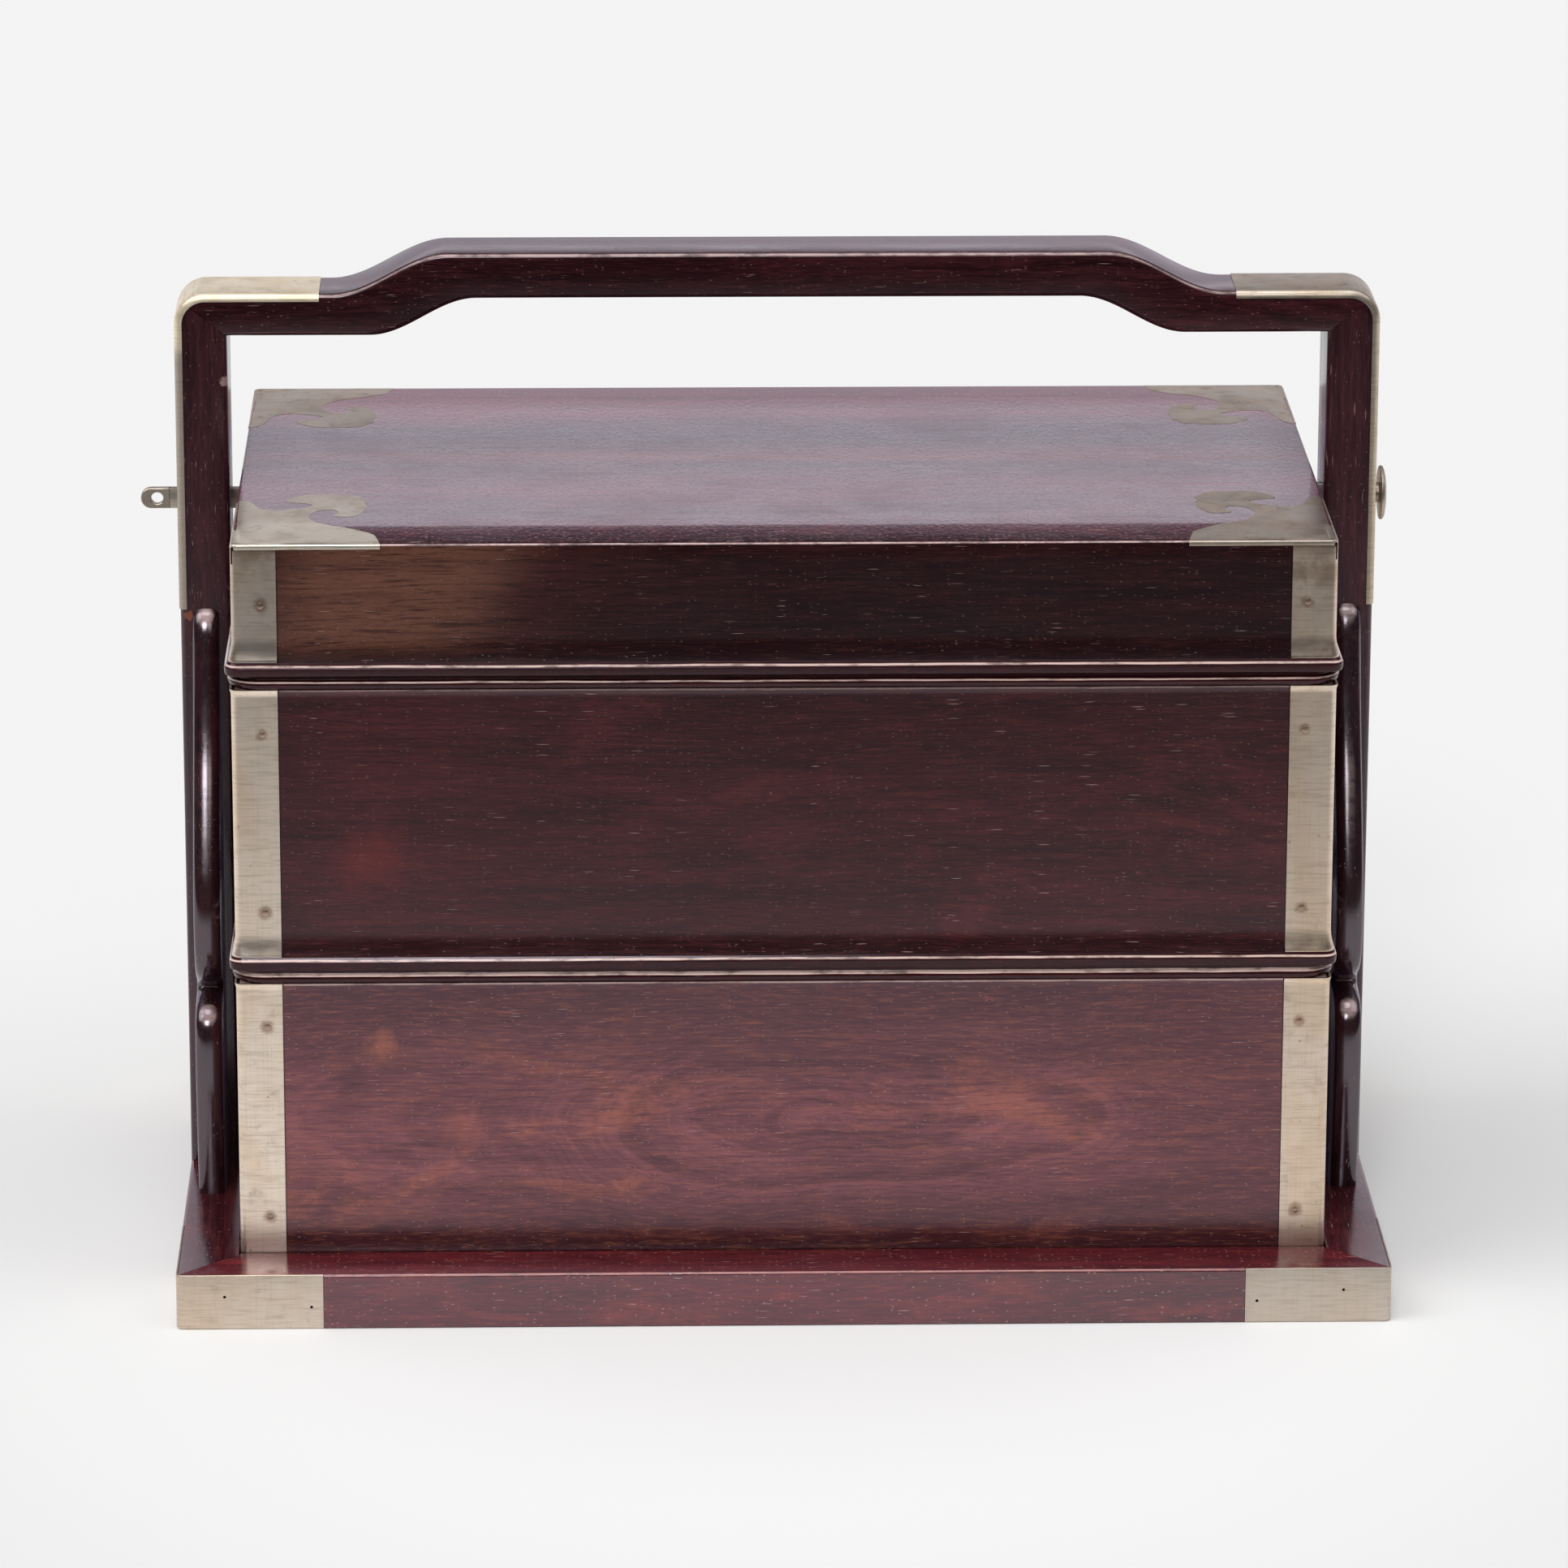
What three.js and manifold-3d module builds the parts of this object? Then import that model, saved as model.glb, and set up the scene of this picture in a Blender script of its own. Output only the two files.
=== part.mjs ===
// Two-tier carrying box of polished hardwood with a bridge handle and a locking bar
//
// Sizes are in millimetres. X runs along the length to the right, Y to the back, Z up.
// The origin is the middle of the underside, in the plane that the box stands on.

import * as THREE from 'three';
import { mergeVertices } from 'three/addons/utils/BufferGeometryUtils.js';
import Module from 'manifold-3d';

const wasm = await Module();
wasm.setup();

// Base: four mitred rails round a loose panel
const baseHeight = 17;
const baseFrontMargin = 20;
const baseRailWidth = 40;
const baseArrisRadius = 2;
const baseFootChamfer = 0.8;
const traySeatDepth = 2.5;
const traySeatClearance = 0.6;
const basePanelThickness = 6;
const basePanelDrop = 0.3;
const basePanelTongueLength = 5;
const basePanelTongueThickness = 3.5;
const stretcherWidth = 30;
const stretcherTenonLength = 6;
const stretcherShoulder = 3.5;
const stretcherTenonHeight = 3;

// Sheet metal on the corners of the base
const basePlateLeg = 43.5;
const basePlateThickness = 0.8;
const basePlateFoldWidth = 10;
const basePlateCornerRadius = 2.2;

// Uprights and the bridge handle
const uprightThickness = 15.4;
const uprightDepth = 24.6;
const uprightArrisRadius = 1.6;
const uprightTenonThickness = 7;
const uprightTenonWidth = 14;
const uprightTenonLength = 11;
const handGap = 42.3;
const shoulderThickness = 12.6;
const bridgeRise = 11.2;
const bridgeThickness = 13.6;
const handleCornerRadius = 9;
const shoulderTopLength = 46;
const shoulderUndersideLength = 58;
const topCurveRun = 35.5;
const underCurveRun = 32;

// Metal strap over each shoulder of the handle and down the upright
const handleStrapTopLength = 43;
const handleStrapDrop = 96.9;
const handleStrapThickness = 0.8;
const handleStrapProud = 0.4;
const handleStrapLip = 2;

// Standing brackets before and behind each upright
const spandrelThickness = 8;
const spandrelHeight = 176;
const spandrelReach = 36.5;
const spandrelArrisRadius = 1.6;

// Outline of a bracket: shares of its height, then shares of its reach
const spandrelOutlineShares = [
  [0, 0.87], [0.03, 0.885], [0.1, 0.94], [0.19, 0.99], [0.26, 1], [0.31, 0.965],
  [0.338, 0.86], [0.348, 0.7], [0.3525, 0.53], [0.36, 0.55], [0.373, 0.66],
  [0.395, 0.78], [0.43, 0.87], [0.48, 0.905], [0.54, 0.875], [0.61, 0.76],
  [0.69, 0.6], [0.77, 0.43], [0.85, 0.29], [0.92, 0.195], [0.965, 0.135], [0.99, 0.07], [1, 0],
];

// Trays and lid
const trayLength = 323;
const stackEndClearance = 3.1;
const trayDepth = 192;
const wallThickness = 7;
const lowerTrayHeight = 90.1;
const upperTrayHeight = 89.6;
const lidHeight = 39.4;
const tierGap = 0.3;
const floorThickness = 4.5;
const floorGrooveDepth = 3.5;
const floorRise = 3;
const lidTopThickness = 5.8;
const lidArris = 0.8;

// Mouldings at the joints between the tiers
const rimHeight = 3.8;
const footBeadHeight = 4;
const beadProud = 1.3;
const lipHeight = 4;
const lipThickness = 3.4;
const lipClearance = 0.3;
const lipChamfer = 0.6;

// Angle straps down the corners of the trays and the lid
const strapLeg = 13.6;
const strapThickness = 0.7;
const strapCornerRadius = 2;

// Cloud-shaped mounts let into the top of the lid
const mountFrontLeg = 43.5;
const mountSideLeg = 50.5;
const mountThickness = 0.6;
const mountFold = 1.3;

// Outline of a mount from the end of its side leg round to the end of its front leg:
// shares of the front leg along the length, then shares of the side leg along the depth
const mountOutlineShares = [
  [0, 0.97], [0.045, 1], [0.09, 0.965], [0.12, 0.9], [0.165, 0.78], [0.22, 0.735],
  [0.3, 0.72], [0.41, 0.75], [0.49, 0.785], [0.525, 0.825], [0.49, 0.865], [0.43, 0.885],
  [0.335, 0.92], [0.37, 0.985], [0.45, 1.055], [0.58, 1.08], [0.7, 1.07], [0.81, 1.045],
  [0.845, 0.985], [0.885, 0.95], [0.87, 0.875], [0.895, 0.8], [0.873, 0.69], [0.825, 0.585],
  [0.75, 0.56], [0.665, 0.59], [0.705, 0.65], [0.667, 0.725], [0.575, 0.71], [0.53, 0.65],
  [0.505, 0.56], [0.54, 0.465], [0.62, 0.39], [0.7, 0.345], [0.78, 0.31],
  [0.87, 0.25], [0.95, 0.185], [0.98, 0.095], [1, 0],
];

// Locking bar through both uprights and the lid
const barHeight = 6.2;
const barThickness = 2.6;
const barBelowLidTop = 10.3;
const barTipReach = 11.8;
const barHeadClearance = 0.8;
const barTangLength = 2.4;
const barTangHeight = 3.4;
const barTangThickness = 2.2;
const padlockHoleRadius = 1.85;
const padlockHoleInset = 4.9;
const barSlotClearance = 0.4;
const barPlayInLid = 1.9;
const barHeadCollarRadius = 3;
const barHeadCollarLength = 1.5;
const barHeadRadius = 8.2;
const barHeadRimThickness = 0.8;
const barHeadDome = 1.2;

// Small round pins that hold the sheet metal
const pinRadius = 0.8;
const pinLength = 5;
const pinProud = 0.1;
const strapPinFromEnd = 13.5;

// Where the pins stand: shares of a strap's leg, of a base plate's leg, and of the two legs
// of a mount
const strapPinShare = 0.66;
const basePinShares = [0.33, 0.92];
const mountPinShares = [[0.8, 0.18], [0.08, 0.75]];

// Clearances and the overrun of every cut
const glueGap = 0.1;
const inlayGap = 0.1;
const fitClearance = 0.15;
const cutOverrun = 5;

// Fineness of the curves
const arrisSteps = 2;
const cornerSteps = 4;
const beadSteps = 6;
const bridgeCurveSteps = 10;
const pinSides = 6;
const holeSides = 20;
const headSides = 28;
const weldDistance = 1e-5;

const quarterTurn = Math.PI / 2;
const xAxis = new THREE.Vector3(1, 0, 0);
const yAxis = new THREE.Vector3(0, 1, 0);
const zAxis = new THREE.Vector3(0, 0, 1);

// Materials

function finish(color, roughness, metalness) {
  return new THREE.MeshStandardMaterial({ color, roughness, metalness });
}

const darkHardwood = finish(0x3a1a18, 0.35, 0);
const redHardwood = finish(0x5e2a26, 0.35, 0);
const lidHardwood = finish(0x4a2622, 0.35, 0);
const paleBrass = finish(0xb8a98f, 0.4, 1);
const agedBrass = finish(0x8f7f62, 0.5, 1);

// From closed geometry to solid and back

function solidOf(geometry) {
  const bare = geometry.clone();
  bare.deleteAttribute('normal');
  bare.deleteAttribute('uv');
  const welded = mergeVertices(bare, weldDistance);
  const faces = [];
  for (let i = 0; i < welded.index.count; i += 3) {
    const [a, b, c] = [0, 1, 2].map((corner) => welded.index.getX(i + corner));
    if (a !== b && b !== c && c !== a) faces.push(a, b, c);
  }
  return new wasm.Manifold(new wasm.Mesh({
    numProp: 3,
    vertProperties: new Float32Array(welded.attributes.position.array),
    triVerts: new Uint32Array(faces),
  }));
}

function geometryOf(solid) {
  const surface = solid.getMesh();
  const geometry = new THREE.BufferGeometry();
  geometry.setAttribute('position', new THREE.BufferAttribute(surface.vertProperties.slice(), 3));
  geometry.setIndex(new THREE.BufferAttribute(surface.triVerts.slice(), 1));
  geometry.computeVertexNormals();
  return geometry;
}

function joined(solids) {
  return solids.reduce((whole, solid) => whole.add(solid));
}

function cutFrom(solid, cutters) {
  return cutters.reduce((rest, cutter) => rest.subtract(cutter), solid);
}

// A solid from points and triangles that may all face in or all face out
function shell(points, faces) {
  const geometry = new THREE.BufferGeometry();
  geometry.setAttribute('position', new THREE.BufferAttribute(new Float32Array(points), 3));
  geometry.setIndex(faces);
  const solid = solidOf(geometry);
  if (solid.volume() > 0) return solid;
  geometry.setIndex(faces.slice().reverse());
  return solidOf(geometry);
}

// A block between two corners
function block(xLow, xHigh, yLow, yHigh, zLow, zHigh) {
  const geometry = new THREE.BoxGeometry(xHigh - xLow, yHigh - yLow, zHigh - zLow);
  geometry.translate((xLow + xHigh) / 2, (yLow + yHigh) / 2, (zLow + zHigh) / 2);
  return solidOf(geometry);
}

// A block centred on the Z axis
function centredBlock(length, depth, zLow, zHigh) {
  return block(-length / 2, length / 2, -depth / 2, depth / 2, zLow, zHigh);
}

function flatPoints(outline) {
  return outline.map(([across, up]) => new THREE.Vector2(across, up));
}

// An outline of [across, up] points drawn on two axes and run along a third, from low to high
function extruded(outline, acrossAxis, upAxis, alongAxis, low, high, holes = []) {
  const shape = new THREE.Shape(flatPoints(outline));
  shape.holes = holes.map((hole) => new THREE.Path(flatPoints(hole)));
  const geometry = new THREE.ExtrudeGeometry(shape, { depth: high - low, bevelEnabled: false });
  geometry.translate(0, 0, low);
  geometry.applyMatrix4(new THREE.Matrix4().makeBasis(acrossAxis, upAxis, alongAxis));
  return solidOf(geometry);
}

function pointOnArc(centre, radius, angle) {
  return [centre[0] + radius * Math.cos(angle), centre[1] + radius * Math.sin(angle)];
}

// Points on an arc of a circle, both ends included
function arcPoints(centre, radius, startAngle, endAngle, steps) {
  return Array.from({ length: steps + 1 }, (_, i) => pointOnArc(
    centre, radius, startAngle + (endAngle - startAngle) * i / steps));
}

// A solid whose surface runs from ring to ring, closed by a cap at each end.
// capOutline gives one ring in its own plane, for the triangles of the caps.
function loft(rings, capOutline) {
  const count = capOutline.length;
  const turns = Math.sign(THREE.ShapeUtils.area(flatPoints(capOutline)));
  const caps = THREE.ShapeUtils.triangulateShape(flatPoints(capOutline), []).map((triangle) => {
    const turn = THREE.ShapeUtils.area(flatPoints(triangle.map((i) => capOutline[i])));
    return turn * turns > 0 ? triangle : triangle.slice().reverse();
  });
  const points = rings.flat().flatMap((point) => [point.x, point.y, point.z]);
  const faces = [];
  for (let ring = 0; ring + 1 < rings.length; ring += 1) {
    for (let i = 0; i < count; i += 1) {
      const [a, b] = [ring * count + i, ring * count + (i + 1) % count];
      faces.push(a, b, b + count, a, b + count, a + count);
    }
  }
  const last = (rings.length - 1) * count;
  for (const [a, b, c] of caps) {
    faces.push(a, c, b, last + a, last + b, last + c);
  }
  return shell(points, faces);
}

// The four sides of a rectangular frame: along is the way a side runs, inward the way in
const sides = {
  front: { along: xAxis, inward: yAxis },
  right: { along: yAxis, inward: xAxis.clone().negate() },
  back: { along: xAxis.clone().negate(), inward: yAxis.clone().negate() },
  left: { along: yAxis.clone().negate(), inward: xAxis },
};

// One side of a frame of the given length and depth, mitred at both ends.
// The profile is a list of [distance in from the outer face, height].
function mitredSide(side, profile, length, depth) {
  const { along, inward } = sides[side];
  const runsAlongX = side === 'front' || side === 'back';
  const halfRun = (runsAlongX ? length : depth) / 2;
  const halfReach = (runsAlongX ? depth : length) / 2;
  const rings = [-1, 1].map((end) => profile.map(([inset, height]) => new THREE.Vector3()
    .addScaledVector(along, end * (halfRun - inset - glueGap / 2))
    .addScaledVector(inward, inset - halfReach)
    .addScaledVector(zAxis, height)));
  return loft(rings, profile);
}

// A moulding that runs once round a rectangle, mitred at its corners
function mouldingRing(profile, length, depth) {
  const turns = [[-1, -1], [1, -1], [1, 1], [-1, 1]];
  const count = profile.length;
  const points = turns.flatMap(([sideX, sideY]) => profile.flatMap(([inset, height]) => [
    sideX * (length / 2 - inset), sideY * (depth / 2 - inset), height]));
  const faces = [];
  for (let turn = 0; turn < turns.length; turn += 1) {
    const following = (turn + 1) % turns.length;
    for (let i = 0; i < count; i += 1) {
      const next = (i + 1) % count;
      const [a, b] = [turn * count + i, turn * count + next];
      const [c, d] = [following * count + i, following * count + next];
      faces.push(a, b, d, a, d, c);
    }
  }
  return shell(points, faces);
}

// Corner work: every corner is drawn as the front left one, with its measures taken from
// the two outer faces of a rectangle, and the other three are its mirror images.

const corners = [
  { name: 'front_left', sideX: -1, sideY: -1 },
  { name: 'front_right', sideX: 1, sideY: -1 },
  { name: 'back_right', sideX: 1, sideY: 1 },
  { name: 'back_left', sideX: -1, sideY: 1 },
];

// An outline of [from the end face, from the front or back face], between two heights
function cornerSolid(outline, corner, length, depth, zLow, zHigh) {
  const placed = outline.map(([fromEnd, fromFace]) => [
    corner.sideX * (length / 2 - fromEnd), corner.sideY * (depth / 2 - fromFace)]);
  return extruded(placed, xAxis, yAxis, zAxis, zLow, zHigh);
}

// The bend of an angle band, from the leg along the front to the leg along the end
function bendPoints(offset, radius) {
  if (radius <= 0) return [[offset, offset]];
  return arcPoints([offset + radius, offset + radius], radius,
    -quarterTurn, -2 * quarterTurn, cornerSteps);
}

// An angle band between two offsets from the outer faces, with a leg along each of them
function angleOutline(frontLeg, endLeg, outer, outerRadius, inner, innerRadius) {
  return [
    [frontLeg, outer], ...bendPoints(outer, outerRadius), [outer, endLeg],
    [inner, endLeg], ...bendPoints(inner, innerRadius).reverse(), [frontLeg, inner],
  ];
}

// The room that an angle band of sheet metal takes out of the wood behind it
function angleRoom(corner, length, depth, frontLeg, endLeg, thickness, radius, zLow, zHigh) {
  const outline = angleOutline(frontLeg + inlayGap, endLeg + inlayGap, -cutOverrun, 0,
    thickness + inlayGap, radius - thickness);
  return cornerSolid(outline, corner, length, depth, zLow, zHigh);
}

// A closed outline moved outward everywhere by the same distance
function grownOutline(outline, distance) {
  const turns = Math.sign(THREE.ShapeUtils.area(flatPoints(outline)));
  const points = flatPoints(outline);
  const outwardOf = (from, to) => {
    const way = to.clone().sub(from).normalize();
    return new THREE.Vector2(way.y, -way.x).multiplyScalar(turns);
  };
  return points.map((point, i) => {
    const before = outwardOf(points[(i + points.length - 1) % points.length], point);
    const after = outwardOf(point, points[(i + 1) % points.length]);
    const reach = distance / (1 + before.dot(after));
    return [point.x + (before.x + after.x) * reach, point.y + (before.y + after.y) * reach];
  });
}

// A pin driven in through sheet metal from the front or back face, or from an end face.
// fromCorner is its distance from the corner along that face; grown turns it into its hole.
function cornerPin(corner, intoEnd, length, depth, fromCorner, height, grown) {
  const radius = pinRadius + grown;
  const wholeLength = pinLength + 2 * grown;
  const geometry = new THREE.CylinderGeometry(radius, radius, wholeLength, pinSides);
  const inset = pinLength / 2 - pinProud;
  if (intoEnd) {
    geometry.rotateZ(quarterTurn);
    geometry.translate(corner.sideX * (length / 2 - inset),
      corner.sideY * (depth / 2 - fromCorner), height);
  } else {
    geometry.translate(corner.sideX * (length / 2 - fromCorner),
      corner.sideY * (depth / 2 - inset), height);
  }
  return solidOf(geometry);
}

// The pins in both legs of the angle band on one corner
function bandPins(corner, length, depth, places, grown) {
  return [false, true].flatMap((intoEnd) => places.map(
    ([fromCorner, height]) => cornerPin(corner, intoEnd, length, depth, fromCorner, height, grown)));
}

// The object as a scene graph

const box = new THREE.Group();
const carryingFrame = new THREE.Group();
const lowerTray = new THREE.Group();
const upperTray = new THREE.Group();
const lid = new THREE.Group();
const lockingBar = new THREE.Group();
box.add(carryingFrame, lowerTray, upperTray, lid, lockingBar);

function addPiece(group, name, solid, material) {
  const piece = new THREE.Mesh(geometryOf(solid), material);
  piece.name = name;
  group.add(piece);
  return piece;
}

// Heights in the stack. Each tier is drawn from its own foot, and the bar about its own line.
const seatLevel = baseHeight - traySeatDepth;
lowerTray.position.z = seatLevel + tierGap;
upperTray.position.z = lowerTray.position.z + lowerTrayHeight + tierGap;
lid.position.z = upperTray.position.z + upperTrayHeight + tierGap;
const lidTopLevel = lid.position.z + lidHeight;
const barLevel = lidTopLevel - barBelowLidTop;
lockingBar.position.z = barLevel;

// The frame stands round the stack: its uprights at the ends, its base under all of it
const uprightInner = trayLength / 2 + stackEndClearance;
const uprightOuter = uprightInner + uprightThickness;
const uprightCentre = (uprightOuter + uprightInner) / 2;
const baseLength = 2 * uprightOuter;
const baseDepth = trayDepth + 2 * baseFrontMargin;

// Base

const basePanelTop = seatLevel - basePanelDrop;
const basePanelBottom = basePanelTop - basePanelThickness;
const baseOpeningLength = baseLength - 2 * baseRailWidth;
const baseOpeningDepth = baseDepth - 2 * baseRailWidth;

const baseRailProfile = [
  [baseRailWidth, 0],
  [baseRailWidth, baseHeight],
  ...arcPoints([baseArrisRadius, baseHeight - baseArrisRadius], baseArrisRadius,
    quarterTurn, 2 * quarterTurn, cornerSteps),
  [0, baseFootChamfer],
  [baseFootChamfer, 0],
];

// The tongue round the base panel, or the groove for it when grown is set
function basePanelTongue(grown) {
  return centredBlock(
    baseOpeningLength + 2 * (basePanelTongueLength + grown),
    baseOpeningDepth + 2 * (basePanelTongueLength + grown),
    basePanelBottom - grown, basePanelBottom + basePanelTongueThickness + grown);
}

// The tenons of the stretcher, or the mortises for them when grown is set
function stretcherTenons(grown) {
  const bottom = (basePanelBottom - stretcherTenonHeight) / 2;
  return centredBlock(
    stretcherWidth - 2 * stretcherShoulder + 2 * grown,
    baseOpeningDepth + 2 * (stretcherTenonLength + grown),
    bottom - grown, bottom + stretcherTenonHeight + grown);
}

// The tenon under an upright, or its mortise when grown is set
function uprightTenon(sideX, grown, above) {
  const centre = sideX * uprightCentre;
  const halfThickness = uprightTenonThickness / 2 + grown;
  const halfWidth = uprightTenonWidth / 2 + grown;
  return block(centre - halfThickness, centre + halfThickness, -halfWidth, halfWidth,
    baseHeight - uprightTenonLength - grown, baseHeight + above);
}

const basePinPlaces = basePinShares.map((share) => [share * basePlateLeg, baseHeight / 2]);
const basePinHoles = corners.flatMap((corner) => bandPins(
  corner, baseLength, baseDepth, basePinPlaces, inlayGap));
const plateInnerRadius = basePlateCornerRadius - basePlateThickness;

const baseCuts = [
  centredBlock(trayLength + 2 * traySeatClearance, trayDepth + 2 * traySeatClearance,
    seatLevel, baseHeight + cutOverrun),
  basePanelTongue(fitClearance),
  stretcherTenons(fitClearance),
  uprightTenon(-1, fitClearance, cutOverrun),
  uprightTenon(1, fitClearance, cutOverrun),
  ...corners.flatMap((corner) => [
    angleRoom(corner, baseLength, baseDepth, basePlateLeg, basePlateLeg, basePlateThickness,
      basePlateCornerRadius, -cutOverrun, baseHeight + cutOverrun),
    angleRoom(corner, baseLength, baseDepth, basePlateLeg, basePlateLeg, basePlateFoldWidth,
      basePlateFoldWidth, -cutOverrun, basePlateThickness + inlayGap),
  ]),
  ...basePinHoles,
];

for (const side of Object.keys(sides)) {
  const rail = mitredSide(side, baseRailProfile, baseLength, baseDepth);
  addPiece(carryingFrame, `base_${side}_rail`, cutFrom(rail, baseCuts), redHardwood);
}

const panelField = centredBlock(baseOpeningLength - 2 * fitClearance,
  baseOpeningDepth - 2 * fitClearance, basePanelBottom, basePanelTop);
addPiece(carryingFrame, 'base_panel', panelField.add(basePanelTongue(0)), darkHardwood);

const stretcherBody = centredBlock(stretcherWidth, baseOpeningDepth - 2 * fitClearance,
  0, basePanelBottom - fitClearance);
addPiece(carryingFrame, 'base_stretcher', stretcherBody.add(stretcherTenons(0)), darkHardwood);

// A base corner plate: an angle of sheet metal whose lower edge is folded under the rails,
// with the pins that hold it
for (const corner of corners) {
  const wall = cornerSolid(
    angleOutline(basePlateLeg, basePlateLeg, 0, basePlateCornerRadius,
      basePlateThickness, plateInnerRadius),
    corner, baseLength, baseDepth, 0, baseHeight);
  const fold = cornerSolid(
    angleOutline(basePlateLeg, basePlateLeg, 0, basePlateCornerRadius, basePlateFoldWidth, 0),
    corner, baseLength, baseDepth, 0, basePlateThickness);
  const pins = bandPins(corner, baseLength, baseDepth, basePinPlaces, 0);
  addPiece(carryingFrame, `base_corner_plate_${corner.name}`, joined([wall, fold, ...pins]), paleBrass);
}

// Bridge handle and uprights

const halfGrip = uprightDepth / 2;
const mitreAngle = quarterTurn / 2;
const shoulderUnderside = lidTopLevel + handGap;
const shoulderTop = shoulderUnderside + shoulderThickness;
const handleStrapInnerEnd = uprightOuter - handleStrapTopLength;
const handleStrapLowerEnd = shoulderTop - handleStrapDrop;

// A rounded rectangle between an outer and an inner point of the frame, square to the grip
function gripRing(outer, inner) {
  const outward = outer.clone().sub(inner);
  const height = outward.length();
  outward.normalize();
  const far = halfGrip - uprightArrisRadius;
  const outline = [
    { at: [far, height - uprightArrisRadius], from: 0 },
    { at: [-far, height - uprightArrisRadius], from: quarterTurn },
    { at: [-far, uprightArrisRadius], from: 2 * quarterTurn },
    { at: [far, uprightArrisRadius], from: 3 * quarterTurn },
  ].flatMap(({ at, from }) => arcPoints(at, uprightArrisRadius, from, from + quarterTurn, arrisSteps));
  const ring = outline.map(([across, up]) => inner.clone()
    .addScaledVector(outward, up)
    .addScaledVector(yAxis, across));
  return { outline, ring };
}

function inFramePlane(x, z) {
  return new THREE.Vector3(x, 0, z);
}

function loftBetween(pairs) {
  const rings = pairs.map(([outer, inner]) => gripRing(outer, inner));
  return loft(rings.map(({ ring }) => ring), rings[0].outline);
}

function mirroredPair([outer, inner]) {
  return [inFramePlane(-outer.x, outer.z), inFramePlane(-inner.x, inner.z)];
}

const handleCornerCentre = [uprightOuter - handleCornerRadius, shoulderTop - handleCornerRadius];

function outerCornerPoint(angle) {
  return inFramePlane(...pointOnArc(handleCornerCentre, handleCornerRadius, angle));
}

// The curves of the handle: half a cosine wave from the shoulder up to the bridge
function bridgePair(share) {
  const rise = (1 - Math.cos(Math.PI * share)) / 2;
  const topRise = bridgeRise + bridgeThickness - shoulderThickness;
  return [
    inFramePlane(uprightOuter - shoulderTopLength - topCurveRun * share, shoulderTop + topRise * rise),
    inFramePlane(uprightOuter - shoulderUndersideLength - underCurveRun * share,
      shoulderUnderside + bridgeRise * rise),
  ];
}

const innerCorner = inFramePlane(uprightInner, shoulderUnderside);
const mitrePair = [outerCornerPoint(mitreAngle), innerCorner];

function movedPair([outer, inner], x, z) {
  const shift = inFramePlane(x, z);
  return [outer.clone().add(shift), inner.clone().add(shift)];
}

const rightHalfPairs = [
  movedPair(mitrePair, -glueGap / 2, glueGap / 2),
  [outerCornerPoint((mitreAngle + quarterTurn) / 2),
    inFramePlane(uprightInner - uprightArrisRadius, shoulderUnderside)],
  [outerCornerPoint(quarterTurn),
    inFramePlane(uprightInner - 2 * uprightArrisRadius, shoulderUnderside)],
  ...Array.from({ length: bridgeCurveSteps + 1 }, (_, i) => bridgePair(i / bridgeCurveSteps)),
];

const rightUprightPairs = [
  movedPair(mitrePair, glueGap / 2, -glueGap / 2),
  [outerCornerPoint(mitreAngle / 2),
    inFramePlane(uprightInner, shoulderUnderside - uprightArrisRadius)],
  [outerCornerPoint(0), inFramePlane(uprightInner, shoulderUnderside - 2 * uprightArrisRadius)],
  [inFramePlane(uprightOuter, baseHeight), inFramePlane(uprightInner, baseHeight)],
];

// The strap follows the outer line of the frame from the shoulder round the corner and down
function strapStations(innerEnd, lowerEnd) {
  const bend = Array.from({ length: 2 * cornerSteps + 1 }, (_, i) => {
    const angle = quarterTurn * (1 - i / (2 * cornerSteps));
    const outward = new THREE.Vector3(Math.cos(angle), 0, Math.sin(angle));
    return { place: outerCornerPoint(angle), outward };
  });
  return [
    { place: inFramePlane(innerEnd, shoulderTop), outward: zAxis },
    ...bend,
    { place: inFramePlane(uprightOuter, lowerEnd), outward: xAxis },
  ];
}

// The strap's inner or outer contour, at an offset from the rounded face of the wood
function strapContour(offset, lip) {
  const bend = arcPoints([halfGrip - uprightArrisRadius, -uprightArrisRadius],
    uprightArrisRadius + offset, 0, quarterTurn, arrisSteps);
  const nearHalf = [[halfGrip + offset, -lip], ...bend];
  const farHalf = nearHalf.map(([across, up]) => [-across, up]).reverse();
  return [...nearHalf, ...farHalf];
}

function strapChannel(sideX, outerOffset, innerOffset, lip, innerEnd, lowerEnd) {
  const outline = [...strapContour(outerOffset, lip), ...strapContour(innerOffset, lip).reverse()];
  const rings = strapStations(innerEnd, lowerEnd).map(({ place, outward }) => outline.map(
    ([across, up]) => {
      const point = place.clone().addScaledVector(outward, up).addScaledVector(yAxis, across);
      point.x *= sideX;
      return point;
    }));
  return loft(rings, outline);
}

const strapInnerOffset = handleStrapProud - handleStrapThickness;
const strapRooms = [-1, 1].map((sideX) => strapChannel(sideX, handleStrapProud + inlayGap,
  strapInnerOffset - inlayGap, handleStrapLip + inlayGap, handleStrapInnerEnd - inlayGap,
  handleStrapLowerEnd - inlayGap));

const barSlots = centredBlock(baseLength + cutOverrun, barThickness + 2 * barSlotClearance,
  barLevel - barHeight / 2 - barSlotClearance, barLevel + barHeight / 2 + barSlotClearance);

addPiece(carryingFrame, 'handle_rail',
  cutFrom(loftBetween([...rightHalfPairs, ...rightHalfPairs.map(mirroredPair).reverse()]), strapRooms),
  darkHardwood);

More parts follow.
